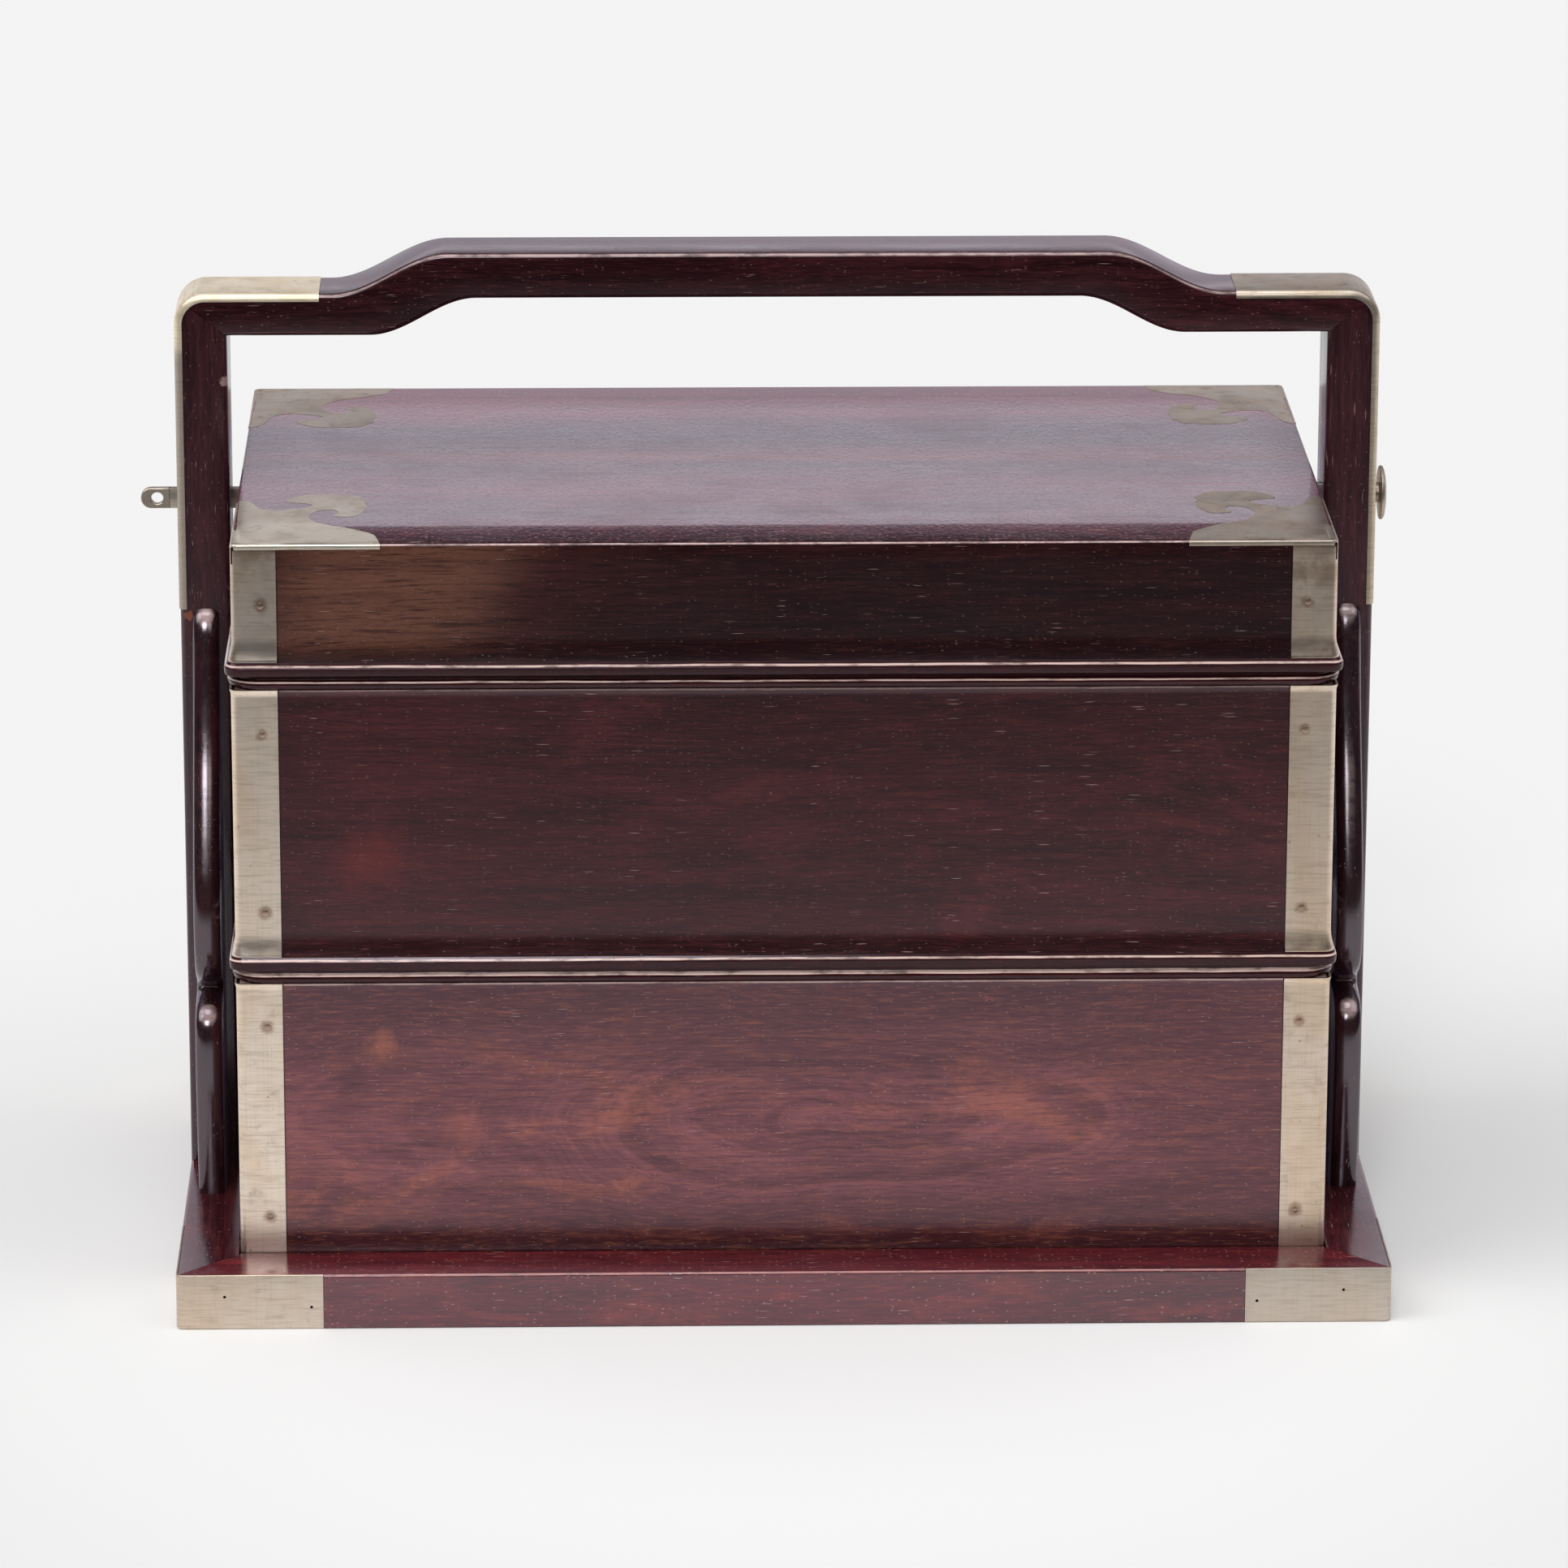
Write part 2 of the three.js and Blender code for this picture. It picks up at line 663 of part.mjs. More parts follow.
for (const { name, sideX } of [{ name: 'left', sideX: -1 }, { name: 'right', sideX: 1 }]) {
  const pairs = sideX > 0 ? rightUprightPairs : rightUprightPairs.map(mirroredPair);
  const post = loftBetween(pairs).add(uprightTenon(sideX, 0, uprightArrisRadius));
  addPiece(carryingFrame, `${name}_upright`, cutFrom(post, [...strapRooms, barSlots]), darkHardwood);
  const strap = strapChannel(sideX, handleStrapProud, strapInnerOffset, handleStrapLip,
    handleStrapInnerEnd, handleStrapLowerEnd);
  addPiece(carryingFrame, `${name}_handle_strap`, strap.subtract(barSlots), paleBrass);
}

// Standing brackets: a board with a wavy edge and rounded arrises, glued to upright and base.
// It is drawn past the upright's face and below the base's top, then trimmed to both.
function spandrel(sideY) {
  const hidden = 2 * spandrelArrisRadius;
  const wave = spandrelOutlineShares.map(([heightShare, reachShare]) => [
    halfGrip + spandrelReach * reachShare, baseHeight + spandrelHeight * heightShare]);
  const shape = new THREE.Shape(flatPoints([
    [halfGrip - hidden, baseHeight - hidden],
    [wave[0][0], baseHeight - hidden],
    ...wave,
    [halfGrip - hidden, baseHeight + spandrelHeight],
  ]));
  const geometry = new THREE.ExtrudeGeometry(shape, {
    depth: spandrelThickness - 2 * spandrelArrisRadius,
    bevelThickness: spandrelArrisRadius,
    bevelSize: spandrelArrisRadius,
    bevelOffset: -spandrelArrisRadius,
    bevelSegments: arrisSteps,
  });
  geometry.translate(0, 0, spandrelArrisRadius - spandrelThickness / 2);
  geometry.applyMatrix4(new THREE.Matrix4().makeBasis(
    yAxis.clone().multiplyScalar(sideY), zAxis, xAxis.clone().multiplyScalar(sideY)));
  const near = sideY * (halfGrip + glueGap);
  const far = sideY * (halfGrip + spandrelReach + cutOverrun);
  const room = block(-spandrelThickness, spandrelThickness, Math.min(near, far), Math.max(near, far),
    baseHeight + glueGap, baseHeight + spandrelHeight + cutOverrun);
  return solidOf(geometry).intersect(room);
}

for (const { name, sideX, sideY } of corners) {
  const bracket = addPiece(carryingFrame, `spandrel_${name}`, spandrel(sideY), darkHardwood);
  bracket.position.x = sideX * uprightCentre;
}

// Mouldings and angle straps that the trays and the lid share

// A half-round bead between two heights, as [inset, height] points, from the foot up
function beadPoints(low, high) {
  return Array.from({ length: beadSteps + 1 }, (_, i) => {
    const angle = Math.PI * i / beadSteps;
    return [-beadProud * Math.sin(angle), low + (high - low) * (1 - Math.cos(angle)) / 2];
  });
}

// The rim of a tray: a bead outside and a lip inside that the next tier sits over
function rimRing(top) {
  const lipOuter = wallThickness - lipThickness;
  const profile = [
    ...beadPoints(top - rimHeight, top),
    [lipOuter, top],
    [lipOuter, top + lipHeight - lipChamfer],
    [lipOuter + lipChamfer, top + lipHeight],
    [wallThickness, top + lipHeight],
    [wallThickness, top - rimHeight],
  ];
  return mouldingRing(profile, trayLength, trayDepth);
}

// The bead under a tier that sits over a lip
function footRing() {
  const innerFace = wallThickness - lipThickness - lipClearance;
  const profile = [...beadPoints(0, footBeadHeight), [innerFace, footBeadHeight], [innerFace, 0]];
  return mouldingRing(profile, trayLength, trayDepth);
}

// The pins of one strap, at the given heights
function tierPins(corner, pinHeights, grown) {
  const places = pinHeights.map((height) => [strapPinShare * strapLeg, height]);
  return bandPins(corner, trayLength, trayDepth, places, grown);
}

function tierPinHoles(pinHeights) {
  return corners.flatMap((corner) => tierPins(corner, pinHeights, inlayGap));
}

// A strap down one corner, with its pins
function tierStrap(corner, zLow, zHigh, pinHeights) {
  const outline = angleOutline(strapLeg, strapLeg, 0, strapCornerRadius,
    strapThickness, strapCornerRadius - strapThickness);
  const band = cornerSolid(outline, corner, trayLength, trayDepth, zLow, zHigh);
  return joined([band, ...tierPins(corner, pinHeights, 0)]);
}

function tierStrapRooms(zLow, zHigh) {
  return corners.map((corner) => angleRoom(corner, trayLength, trayDepth, strapLeg, strapLeg,
    strapThickness, strapCornerRadius, zLow, zHigh));
}

// Trays: four mitred boards, a panel in their groove, a rim, and straps on the corners
function buildTray(group, name, height, boardBottom, material) {
  const boardTop = height - rimHeight - glueGap;
  const floorBottom = boardBottom + floorRise;
  const grooveInset = wallThickness - floorGrooveDepth;
  const profile = [
    [0, boardBottom],
    [wallThickness, boardBottom],
    [wallThickness, floorBottom - fitClearance],
    [grooveInset, floorBottom - fitClearance],
    [grooveInset, floorBottom + floorThickness + fitClearance],
    [wallThickness, floorBottom + floorThickness + fitClearance],
    [wallThickness, boardTop],
    [0, boardTop],
  ];
  const pinHeights = [boardBottom + strapPinFromEnd, boardTop - strapPinFromEnd];
  const cuts = [
    ...tierStrapRooms(boardBottom - cutOverrun, boardTop + cutOverrun),
    ...tierPinHoles(pinHeights),
  ];
  for (const side of Object.keys(sides)) {
    const board = mitredSide(side, profile, trayLength, trayDepth);
    addPiece(group, `${name}_${side}_board`, cutFrom(board, cuts), material);
  }
  const floorInset = grooveInset + fitClearance;
  addPiece(group, `${name}_bottom`,
    centredBlock(trayLength - 2 * floorInset, trayDepth - 2 * floorInset,
      floorBottom, floorBottom + floorThickness), material);
  addPiece(group, `${name}_rim`, rimRing(height), darkHardwood);
  for (const corner of corners) {
    addPiece(group, `${name}_strap_${corner.name}`,
      tierStrap(corner, boardBottom, boardTop, pinHeights), paleBrass);
  }
}

buildTray(lowerTray, 'lower_tray', lowerTrayHeight, 0, redHardwood);
buildTray(upperTray, 'upper_tray', upperTrayHeight, footBeadHeight + glueGap, darkHardwood);
addPiece(upperTray, 'upper_tray_foot_bead', footRing(), darkHardwood);

// Lid: four mitred boards under a solid top, with slots for the locking bar in its ends

const lidBoardBottom = footBeadHeight + glueGap;
const lidTopBottom = lidHeight - lidTopThickness;
const lidStrapTop = lidHeight - mountFold - glueGap;

// A mount's outline, closed round the corner of the lid
const mountOutline = [
  ...mountOutlineShares.map(([lengthShare, depthShare]) => [
    lengthShare * mountFrontLeg, depthShare * mountSideLeg]),
  ...bendPoints(0, strapCornerRadius),
];
const mountEndFold = mountOutline[0][1];

// Pins driven down through a mount
function mountPins({ sideX, sideY }, grown) {
  return mountPinShares.map(([lengthShare, depthShare]) => {
    const fromEnd = lengthShare * mountFrontLeg;
    const fromFace = depthShare * mountSideLeg;
    const geometry = new THREE.CylinderGeometry(
      pinRadius + grown, pinRadius + grown, pinLength + 2 * grown, pinSides);
    geometry.rotateX(quarterTurn);
    geometry.translate(sideX * (trayLength / 2 - fromEnd), sideY * (trayDepth / 2 - fromFace),
      lidHeight + pinProud - pinLength / 2);
    return solidOf(geometry);
  });
}

// A mount: a plate let into the top, folded down over both edges, with its pins
function cloudMount(corner) {
  const plate = cornerSolid(mountOutline, corner, trayLength, trayDepth,
    lidHeight - mountThickness, lidHeight);
  const fold = cornerSolid(
    angleOutline(mountFrontLeg, mountEndFold, 0, strapCornerRadius,
      mountThickness, strapCornerRadius - mountThickness),
    corner, trayLength, trayDepth, lidHeight - mountFold, lidHeight);
  return joined([plate, fold, ...mountPins(corner, 0)]);
}

function mountRooms(corner) {
  return [
    cornerSolid(grownOutline(mountOutline, inlayGap), corner, trayLength, trayDepth,
      lidHeight - mountThickness - inlayGap, lidHeight + cutOverrun),
    angleRoom(corner, trayLength, trayDepth, mountFrontLeg, mountEndFold, mountThickness,
      strapCornerRadius, lidHeight - mountFold - inlayGap, lidHeight + cutOverrun),
    ...mountPins(corner, inlayGap),
  ];
}

const lidBoardProfile = [
  [0, lidBoardBottom],
  [wallThickness, lidBoardBottom],
  [wallThickness, lidTopBottom - glueGap],
  [0, lidTopBottom - glueGap],
];
const lidPinHeights = [(lidBoardBottom + lidStrapTop) / 2];
const lidStrapPinHoles = tierPinHoles(lidPinHeights);
const lidSlots = centredBlock(trayLength + cutOverrun, barThickness + 2 * barSlotClearance,
  barLevel - barHeight / 2 - barPlayInLid - lid.position.z,
  barLevel + barHeight / 2 + barSlotClearance - lid.position.z);
const lidStrapRooms = tierStrapRooms(lidBoardBottom - cutOverrun, lidStrapTop + inlayGap);

for (const side of Object.keys(sides)) {
  const board = mitredSide(side, lidBoardProfile, trayLength, trayDepth);
  addPiece(lid, `lid_${side}_board`,
    cutFrom(board, [...lidStrapRooms, ...lidStrapPinHoles, lidSlots]), lidHardwood);
}

// The top of the lid, with a chamfer round its upper edge
const lidTopOutline = [[-1, -1], [1, -1], [1, 1], [-1, 1]];
const lidTopRings = [[0, lidTopBottom], [0, lidHeight - lidArris], [lidArris, lidHeight]].map(
  ([inset, height]) => lidTopOutline.map(([sideX, sideY]) => new THREE.Vector3(
    sideX * (trayLength / 2 - inset), sideY * (trayDepth / 2 - inset), height)));
addPiece(lid, 'lid_top', cutFrom(loft(lidTopRings, lidTopOutline),
  [...lidStrapRooms, ...corners.flatMap(mountRooms)]), lidHardwood);
addPiece(lid, 'lid_foot_bead', footRing(), darkHardwood);
for (const corner of corners) {
  addPiece(lid, `lid_strap_${corner.name}`,
    tierStrap(corner, lidBoardBottom, lidStrapTop, lidPinHeights), paleBrass);
}
for (const corner of corners) {
  addPiece(lid, `lid_cloud_mount_${corner.name}`, cloudMount(corner), paleBrass);
}

// Locking bar, drawn along X about its own level

const barTip = uprightOuter + barTipReach;
const barHeadStart = uprightOuter + barHeadClearance;
const barTipCentre = [barHeight / 2 - barTip, 0];
const barOutline = [
  [barHeadStart, -barHeight / 2],
  [barHeadStart, barHeight / 2],
  ...arcPoints(barTipCentre, barHeight / 2, quarterTurn, 3 * quarterTurn, 2 * cornerSteps),
];
const padlockHole = arcPoints([padlockHoleInset - barTip, 0], padlockHoleRadius,
  0, 4 * quarterTurn, holeSides).slice(1);
const barStrip = extruded(barOutline, xAxis, zAxis, yAxis.clone().negate(),
  -barThickness / 2, barThickness / 2, [padlockHole]);

// The tang at the bar's end, or the hole for it when grown is set
function barTang(grown) {
  return block(barHeadStart - barTangLength, barHeadStart + barTangLength + grown,
    -barTangThickness / 2 - grown, barTangThickness / 2 + grown,
    -barTangHeight / 2 - grown, barTangHeight / 2 + grown);
}
addPiece(lockingBar, 'lock_bar', barStrip.add(barTang(0)), agedBrass);

// The head: a collar under a slightly domed disc, turned about the bar's length
const domePoints = Array.from({ length: cornerSteps + 1 }, (_, i) => {
  const angle = quarterTurn * i / cornerSteps;
  return [barHeadRadius * Math.cos(angle),
    barHeadCollarLength + barHeadRimThickness + barHeadDome * Math.sin(angle)];
});
const headProfile = [
  [0, 0],
  [barHeadCollarRadius, 0],
  [barHeadCollarRadius, barHeadCollarLength],
  [barHeadRadius, barHeadCollarLength],
  ...domePoints.slice(0, -1),
  [0, barHeadCollarLength + barHeadRimThickness + barHeadDome],
];
const headTurned = new THREE.LatheGeometry(flatPoints(headProfile), headSides);
headTurned.rotateZ(-quarterTurn);
headTurned.translate(barHeadStart + glueGap, 0, 0);
addPiece(lockingBar, 'lock_bar_head', solidOf(headTurned).subtract(barTang(fitClearance)), agedBrass);

export default box;
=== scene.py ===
# %% [markdown]
# # A two-tier carrying box in Blender
#
# The object is a Chinese carrying box of polished hardwood. Two trays and a lid stand on a base between
# two uprights, which a bridge-shaped handle joins at the top. Sheets of pale brass cover the corners,
# and a flat bar runs through the uprights and the lid and locks the stack.
#
# The solid model fixes every size. This lesson dresses it: each step makes the visible skin of a piece
# as a surface worked out with numpy, gives it to the body it moves with, and finishes it in wood or metal.

# %% Setting up
import math

import bmesh
import bpy
import numpy as np
from mathutils import Matrix, Vector
from mathutils.geometry import delaunay_2d_cdt


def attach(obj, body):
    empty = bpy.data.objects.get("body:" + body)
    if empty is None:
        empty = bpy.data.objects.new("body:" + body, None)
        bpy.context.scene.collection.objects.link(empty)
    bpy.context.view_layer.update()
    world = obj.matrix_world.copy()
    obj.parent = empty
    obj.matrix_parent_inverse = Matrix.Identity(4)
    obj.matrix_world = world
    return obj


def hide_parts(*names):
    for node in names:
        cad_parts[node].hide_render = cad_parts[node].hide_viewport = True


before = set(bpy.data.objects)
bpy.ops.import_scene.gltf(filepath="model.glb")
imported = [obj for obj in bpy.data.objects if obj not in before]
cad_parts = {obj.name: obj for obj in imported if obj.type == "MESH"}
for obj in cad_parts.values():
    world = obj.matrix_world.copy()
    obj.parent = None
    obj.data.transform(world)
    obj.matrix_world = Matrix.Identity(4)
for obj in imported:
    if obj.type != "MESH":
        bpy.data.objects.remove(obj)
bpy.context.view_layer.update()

# %% [markdown]
# ## Measures
#
# A cabinet maker works from a cutting list. These are the box's own measures in millimetres, the same
# ones that the solid model uses. The outer faces of trays and lid are the datum: a positive offset
# stands out from them, and a negative one lies behind them.

# %% The cutting list
MILLIMETRE = 0.001
TRAY_LENGTH, TRAY_DEPTH, WALL = 323.0, 192.0, 7.0
BASE_LENGTH, BASE_DEPTH, BASE_HEIGHT, RAIL_WIDTH = 360.0, 232.0, 17.0, 40.0
SEAT_LEVEL = 14.5
LOWER_FOOT, LOWER_TOP = 14.8, 104.9
UPPER_FOOT, UPPER_TOP = 105.2, 194.8
LID_FOOT, LID_EDGE = 195.1, 234.5
FLOOR_RISE, FLOOR_THICKNESS, FLOOR_GROOVE, FLOOR_PLAY = 3.0, 4.5, 3.5, 0.15
UPRIGHT_INNER, UPRIGHT_OUTER, GRIP_DEPTH = 164.6, 180.0, 24.6
SHOULDER_UNDER, SHOULDER_TOP = 276.8, 289.4
BRIDGE_UNDER, BRIDGE_TOP = 288.0, 301.6
BAR_LEVEL, BAR_HEIGHT, BAR_THICKNESS = 224.2, 6.2, 2.6
GLUE_GAP = 0.1
SIDES = {"front": ((1, 0), (0, -1)), "right": ((0, 1), (1, 0)),
         "back": ((-1, 0), (0, 1)), "left": ((0, -1), (-1, 0))}
CORNERS = {"front_left": (-1, -1), "front_right": (1, -1), "back_right": (1, 1), "back_left": (-1, 1)}
HANDS = {"left": -1, "right": 1}
print("base", BASE_LENGTH, "by", BASE_DEPTH, "mm, trays", TRAY_LENGTH, "by", TRAY_DEPTH, "mm")

# %% [markdown]
# ## Tools for making surfaces
#
# Nearly every piece of this box is an outline carried along a path: a board is a section carried from
# mitre to mitre, a strap is a thin section carried round a corner. Plain blocks with a Bevel modifier
# would do for the boards, but not for their sweeps and beads, so everything is made in this one way. One
# function rounds the corners of an outline, and another turns a grid of points into a closed skin.

# %% From an outline to a skin
def rounded(corners, radii, steps=5):
    """A closed outline with rounded corners. Each arc touches both of its sides, its centre lies on the
    corner's bisector at radius over the sine of half the angle, and points on it are spread evenly."""
    corners = np.asarray(corners, float)
    radii = np.broadcast_to(np.asarray(radii, float), (len(corners),))[:, None]
    back = np.roll(corners, 1, 0) - corners
    ahead = np.roll(corners, -1, 0) - corners
    back /= np.linalg.norm(back, axis=1, keepdims=True)
    ahead /= np.linalg.norm(ahead, axis=1, keepdims=True)
    half = np.arccos(np.clip((back * ahead).sum(1, keepdims=True), -1, 1)) / 2
    bisector = back + ahead
    bisector /= np.linalg.norm(bisector, axis=1, keepdims=True)
    centre = corners + bisector * radii / np.sin(half)
    first = corners + back * radii / np.tan(half) - centre
    last = corners + ahead * radii / np.tan(half) - centre
    turn = (np.pi - 2 * half)[:, None]
    share = np.linspace(0, 1, steps + 1)[None, :, None]
    arc = (np.sin((1 - share) * turn) * first[:, None] + np.sin(share * turn) * last[:, None]) / np.sin(turn)
    points = (centre[:, None] + arc).reshape(-1, 2)
    apart = np.linalg.norm(points - np.roll(points, 1, 0), axis=1) > 1e-5
    return points[apart]


def box_section(half_width, half_height, radius, steps=5):
    """A rectangle with rounded corners about the middle."""
    corners = np.array([(-1, -1), (1, -1), (1, 1), (-1, 1)]) * [half_width, half_height]
    return rounded(corners, radius, steps)


def carried(rings, closed=False):
    """The skin over a grid of points, station by station along a path and point by point round each
    section. Neighbouring rings are joined by four-sided faces; an open path gets a cap at each end."""
    rings = np.asarray(rings, float)
    stations, count = rings.shape[:2]
    index = np.arange(stations * count).reshape(stations, count)
    ahead = np.roll(index, -1, 0) if closed else index[1:]
    here = index if closed else index[:-1]
    quads = np.stack([here, np.roll(here, -1, 1), np.roll(ahead, -1, 1), ahead], -1).reshape(-1, 4).tolist()
    caps = [] if closed else [index[0][::-1].tolist(), index[-1].tolist()]
    return rings.reshape(-1, 3), quads + caps


print("points of a rounded square:", len(box_section(1, 1, 0.2)))

# %% [markdown]
# ### From skins to a piece
#
# A piece is one object in the scene, made of one skin or of several, such as a strap and its pins. They
# could be joined with Blender's Join, but it is simpler to count their points on before the mesh is
# made. The mesh is welded and its faces are turned outward, and only edges sharper than a given angle
# stay crisp. The two calls after that say which body the piece moves with and which nodes of the solid
# model it stands for.

# %% A piece of the box
CRISP = 32


def piece(name, skins, body, stands_for, crisp=CRISP):
    """One object from closed skins in millimetres, welded, turned outward and given to its CAD body.
    crisp is the angle in degrees above which an edge stays sharp."""
    points, faces, start = [], [], 0
    for skin_points, skin_faces in skins:
        points.append(skin_points)
        faces += [[corner + start for corner in face] for face in skin_faces]
        start += len(skin_points)
    mesh = bpy.data.meshes.new(name)
    mesh.from_pydata((np.concatenate(points) * MILLIMETRE).tolist(), [], faces)
    shell = bmesh.new()
    shell.from_mesh(mesh)
    bmesh.ops.remove_doubles(shell, verts=shell.verts, dist=1e-7)
    bmesh.ops.recalc_face_normals(shell, faces=shell.faces)
    shell.to_mesh(mesh)
    shell.free()
    mesh.set_sharp_from_angle(angle=math.radians(crisp))
    made = bpy.data.objects.new(name, mesh)
    bpy.context.scene.collection.objects.link(made)
    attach(made, body)
    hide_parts(*stands_for)
    return made


print("edges stay sharp above", CRISP, "degrees")

# %% [markdown]
# ### The slot of the bar
#
# The slots for the locking bar are the one thing that is cut out of a skin. Faces could be built round
# each hole, but every skin would need its own, and a Boolean modifier with one block cuts them all. It is
# applied at once, so that the block can go.

# %% A slot right across
SLOT_HALF_WIDTH, SLOT_REACH, PAST_THE_ENDS = 1.7, 3.5, 200


def with_slot(made, below=SLOT_REACH):
    """Cuts the locking bar's slot right across a piece. It reaches SLOT_REACH above the middle of the
    bar, and below it as far as is asked for."""
    low = np.array([-PAST_THE_ENDS, -SLOT_HALF_WIDTH, BAR_LEVEL - below]) * MILLIMETRE
    high = np.array([PAST_THE_ENDS, SLOT_HALF_WIDTH, BAR_LEVEL + SLOT_REACH]) * MILLIMETRE
    block = bpy.data.meshes.new("slot_block")
    shell = bmesh.new()
    bmesh.ops.create_cube(shell, size=1)
    shell.to_mesh(block)
    shell.free()
    block.transform(Matrix.Translation(Vector((low + high) / 2)) @ Matrix.Diagonal((*(high - low), 1)))
    cutter = bpy.data.objects.new("slot_cutter", block)
    bpy.context.scene.collection.objects.link(cutter)
    cut = made.modifiers.new("slot", "BOOLEAN")
    cut.operation, cut.solver, cut.object = "DIFFERENCE", "EXACT", cutter
    bpy.context.view_layer.update()
    finished = bpy.data.meshes.new_from_object(made.evaluated_get(bpy.context.evaluated_depsgraph_get()))
    made.modifiers.clear()
    made.data = finished
    finished.set_sharp_from_angle(angle=math.radians(CRISP))
    bpy.data.objects.remove(cutter)
    return made


print("slot for the bar:", 2 * SLOT_HALF_WIDTH, "by", 2 * SLOT_REACH, "mm")

# %% [markdown]
# ## Paths of this box
#
# Three paths serve all the straight work. A mitred side runs from corner to corner and shortens as it
# goes inward, at 45 degrees. A ring runs once round a rectangle with rounded corners. An angle runs
# round one corner only, with a leg on each face, as sheet metal does that was bent over a former.

# %% Mitred side, ring and angle
def mitred_side(side, length, depth, section, let_in):
    """A section of [offset, height] points carried along one side of a rectangle. The end of a line
    lies at half the length plus its offset. let_in is (leg, depth): near both ends the wood lies back
    by that depth, for the metal on the corner."""
    (along_x, along_y), (out_x, out_y) = SIDES[side]
    half_run, half_reach = (length / 2, depth / 2) if along_x else (depth / 2, length / 2)
    offset, height = np.asarray(section, float).T
    leg, sunk = let_in[0], np.minimum(offset, -let_in[1])
    before_leg = np.full(len(offset), half_run - leg)
    half = [(sunk, half_run + sunk - GLUE_GAP / 2), (sunk, before_leg), (offset, before_leg)]
    rings = [np.stack([along_x * run + out_x * (half_reach + out), along_y * run + out_y * (half_reach + out),
                       height], -1) for out, run in [(out, -run) for out, run in half] + half[::-1]]
    return carried(rings)


def ring_round(length, depth, radius, section, steps=5):
    """A section of [offset, height] points carried once round a rectangle whose corners have the given
    radius: on a corner, a point lies at the radius plus its offset from the corner's centre."""
    offset, height = np.asarray(section, float).T
    turn = np.linspace(0, np.pi / 2, steps + 1)
    quarters = np.arange(4)[:, None] * np.pi / 2
    angle = (quarters + turn).ravel()
    sign = np.array([[1, 1], [-1, 1], [-1, -1], [1, -1]]).repeat(steps + 1, 0)
    centre = sign * (np.array([length, depth]) / 2 - radius)
    way = np.stack([np.cos(angle), np.sin(angle)], -1)
    flat = centre[:, None] + way[:, None] * (radius + offset)[None, :, None]
    high = np.broadcast_to(height, flat.shape[:2])[..., None]
    return carried(np.concatenate([flat, high], -1), closed=True)


def angle_round(corner, length, depth, radius, legs, section, steps=6):
    """A section of [offset, height] points carried round one corner: along a leg on the front or back
    face, round the bend, and along a leg on the end face."""
    offset, height = np.asarray(section, float).T
    turn = np.linspace(0, np.pi / 2, steps + 1)
    way = np.stack([np.sin(turn), np.cos(turn)], -1)
    way = np.concatenate([way[:1], way, way[-1:]])
    centre = np.zeros_like(way)
    centre[0, 0] = -(legs[0] - radius)
    centre[-1, 1] = -(legs[1] - radius)
    flat = centre[:, None] + way[:, None] * (radius + offset)[None, :, None]
    sign = np.array(CORNERS[corner], float)
    flat = sign * (np.array([length, depth]) / 2 - radius + flat)
    high = np.broadcast_to(height, flat.shape[:2])[..., None]
    return carried(np.concatenate([flat, high], -1))


print("sides:", list(SIDES), "corners:", list(CORNERS))

# %% [markdown]
# ### Pins
#
# Small domed pins hold all the sheet metal. A squashed sphere could stand for each, but there are more
# than sixty, and four rings of twelve points are enough for a head that is two millimetres wide.

# %% Pin heads
HEAD_RADIUS, HEAD_RISE = 1.0, 0.16


def pin_heads(centres, outward, radius=HEAD_RADIUS, rise=HEAD_RISE, sides=12):
    """Round pin heads on a face: each a low dome of a few steps, from a skirt that goes back into the
    metal to a flat middle that stands out by the rise."""
    outward = np.asarray(outward, float)
    across = np.array([0, 1, 0]) if abs(outward[0]) > 0.5 else np.array([1, 0, 0])
    up = np.cross(outward, across)
    share = np.array([1.0, 1.0, 0.8, 0.45])
    lift = np.array([-0.3, 0.03, 0.1, rise])
    angle = np.linspace(0, 2 * np.pi, sides, endpoint=False)
    ring = np.cos(angle)[:, None] * across + np.sin(angle)[:, None] * up
    rings = share[:, None, None] * radius * ring + lift[:, None, None] * outward
    return [carried(np.asarray(centre, float) + rings) for centre in centres]


def corner_pins(corner, length, depth, face, front, end, radius=HEAD_RADIUS, rise=HEAD_RISE):
    """Pin heads on both faces of a corner, and their places. front and end list pins as the distance
    from the corner and the height. face is how far the feet of the domes stand out from the faces."""
    sign_x, sign_y = CORNERS[corner]
    on_front = [(sign_x * (length / 2 - reach), sign_y * (depth / 2 + face), z) for reach, z in front]
    on_end = [(sign_x * (length / 2 + face), sign_y * (depth / 2 - reach), z) for reach, z in end]
    heads = pin_heads(on_front, (0, sign_y, 0), radius, rise)
    return heads + pin_heads(on_end, (sign_x, 0, 0), radius, rise), on_front + on_end


print("points on a pin head:", len(pin_heads([(0, 0, 0)], (0, 0, 1))[0][0]))

# %% [markdown]
# ## The base
#
# The base is a frame of four rails, mitred at the corners, that carries the stack in a shallow recess.
# Its outer arrises are eased by about a millimetre. Four bevelled blocks could stand for it, but a
# swept section gives every arris its own radius, and it is how the wood was worked: the plane that cut
# the moulding ran along the rail in the same way.

# %% Base rails
BASE_PLATE_LEG, BASE_PLATE_THICKNESS, BASE_PLATE_RADIUS = 43.5, 0.8, 2.2
TRAY_PLAY, PLATE_PLAY = 0.6, 0.2


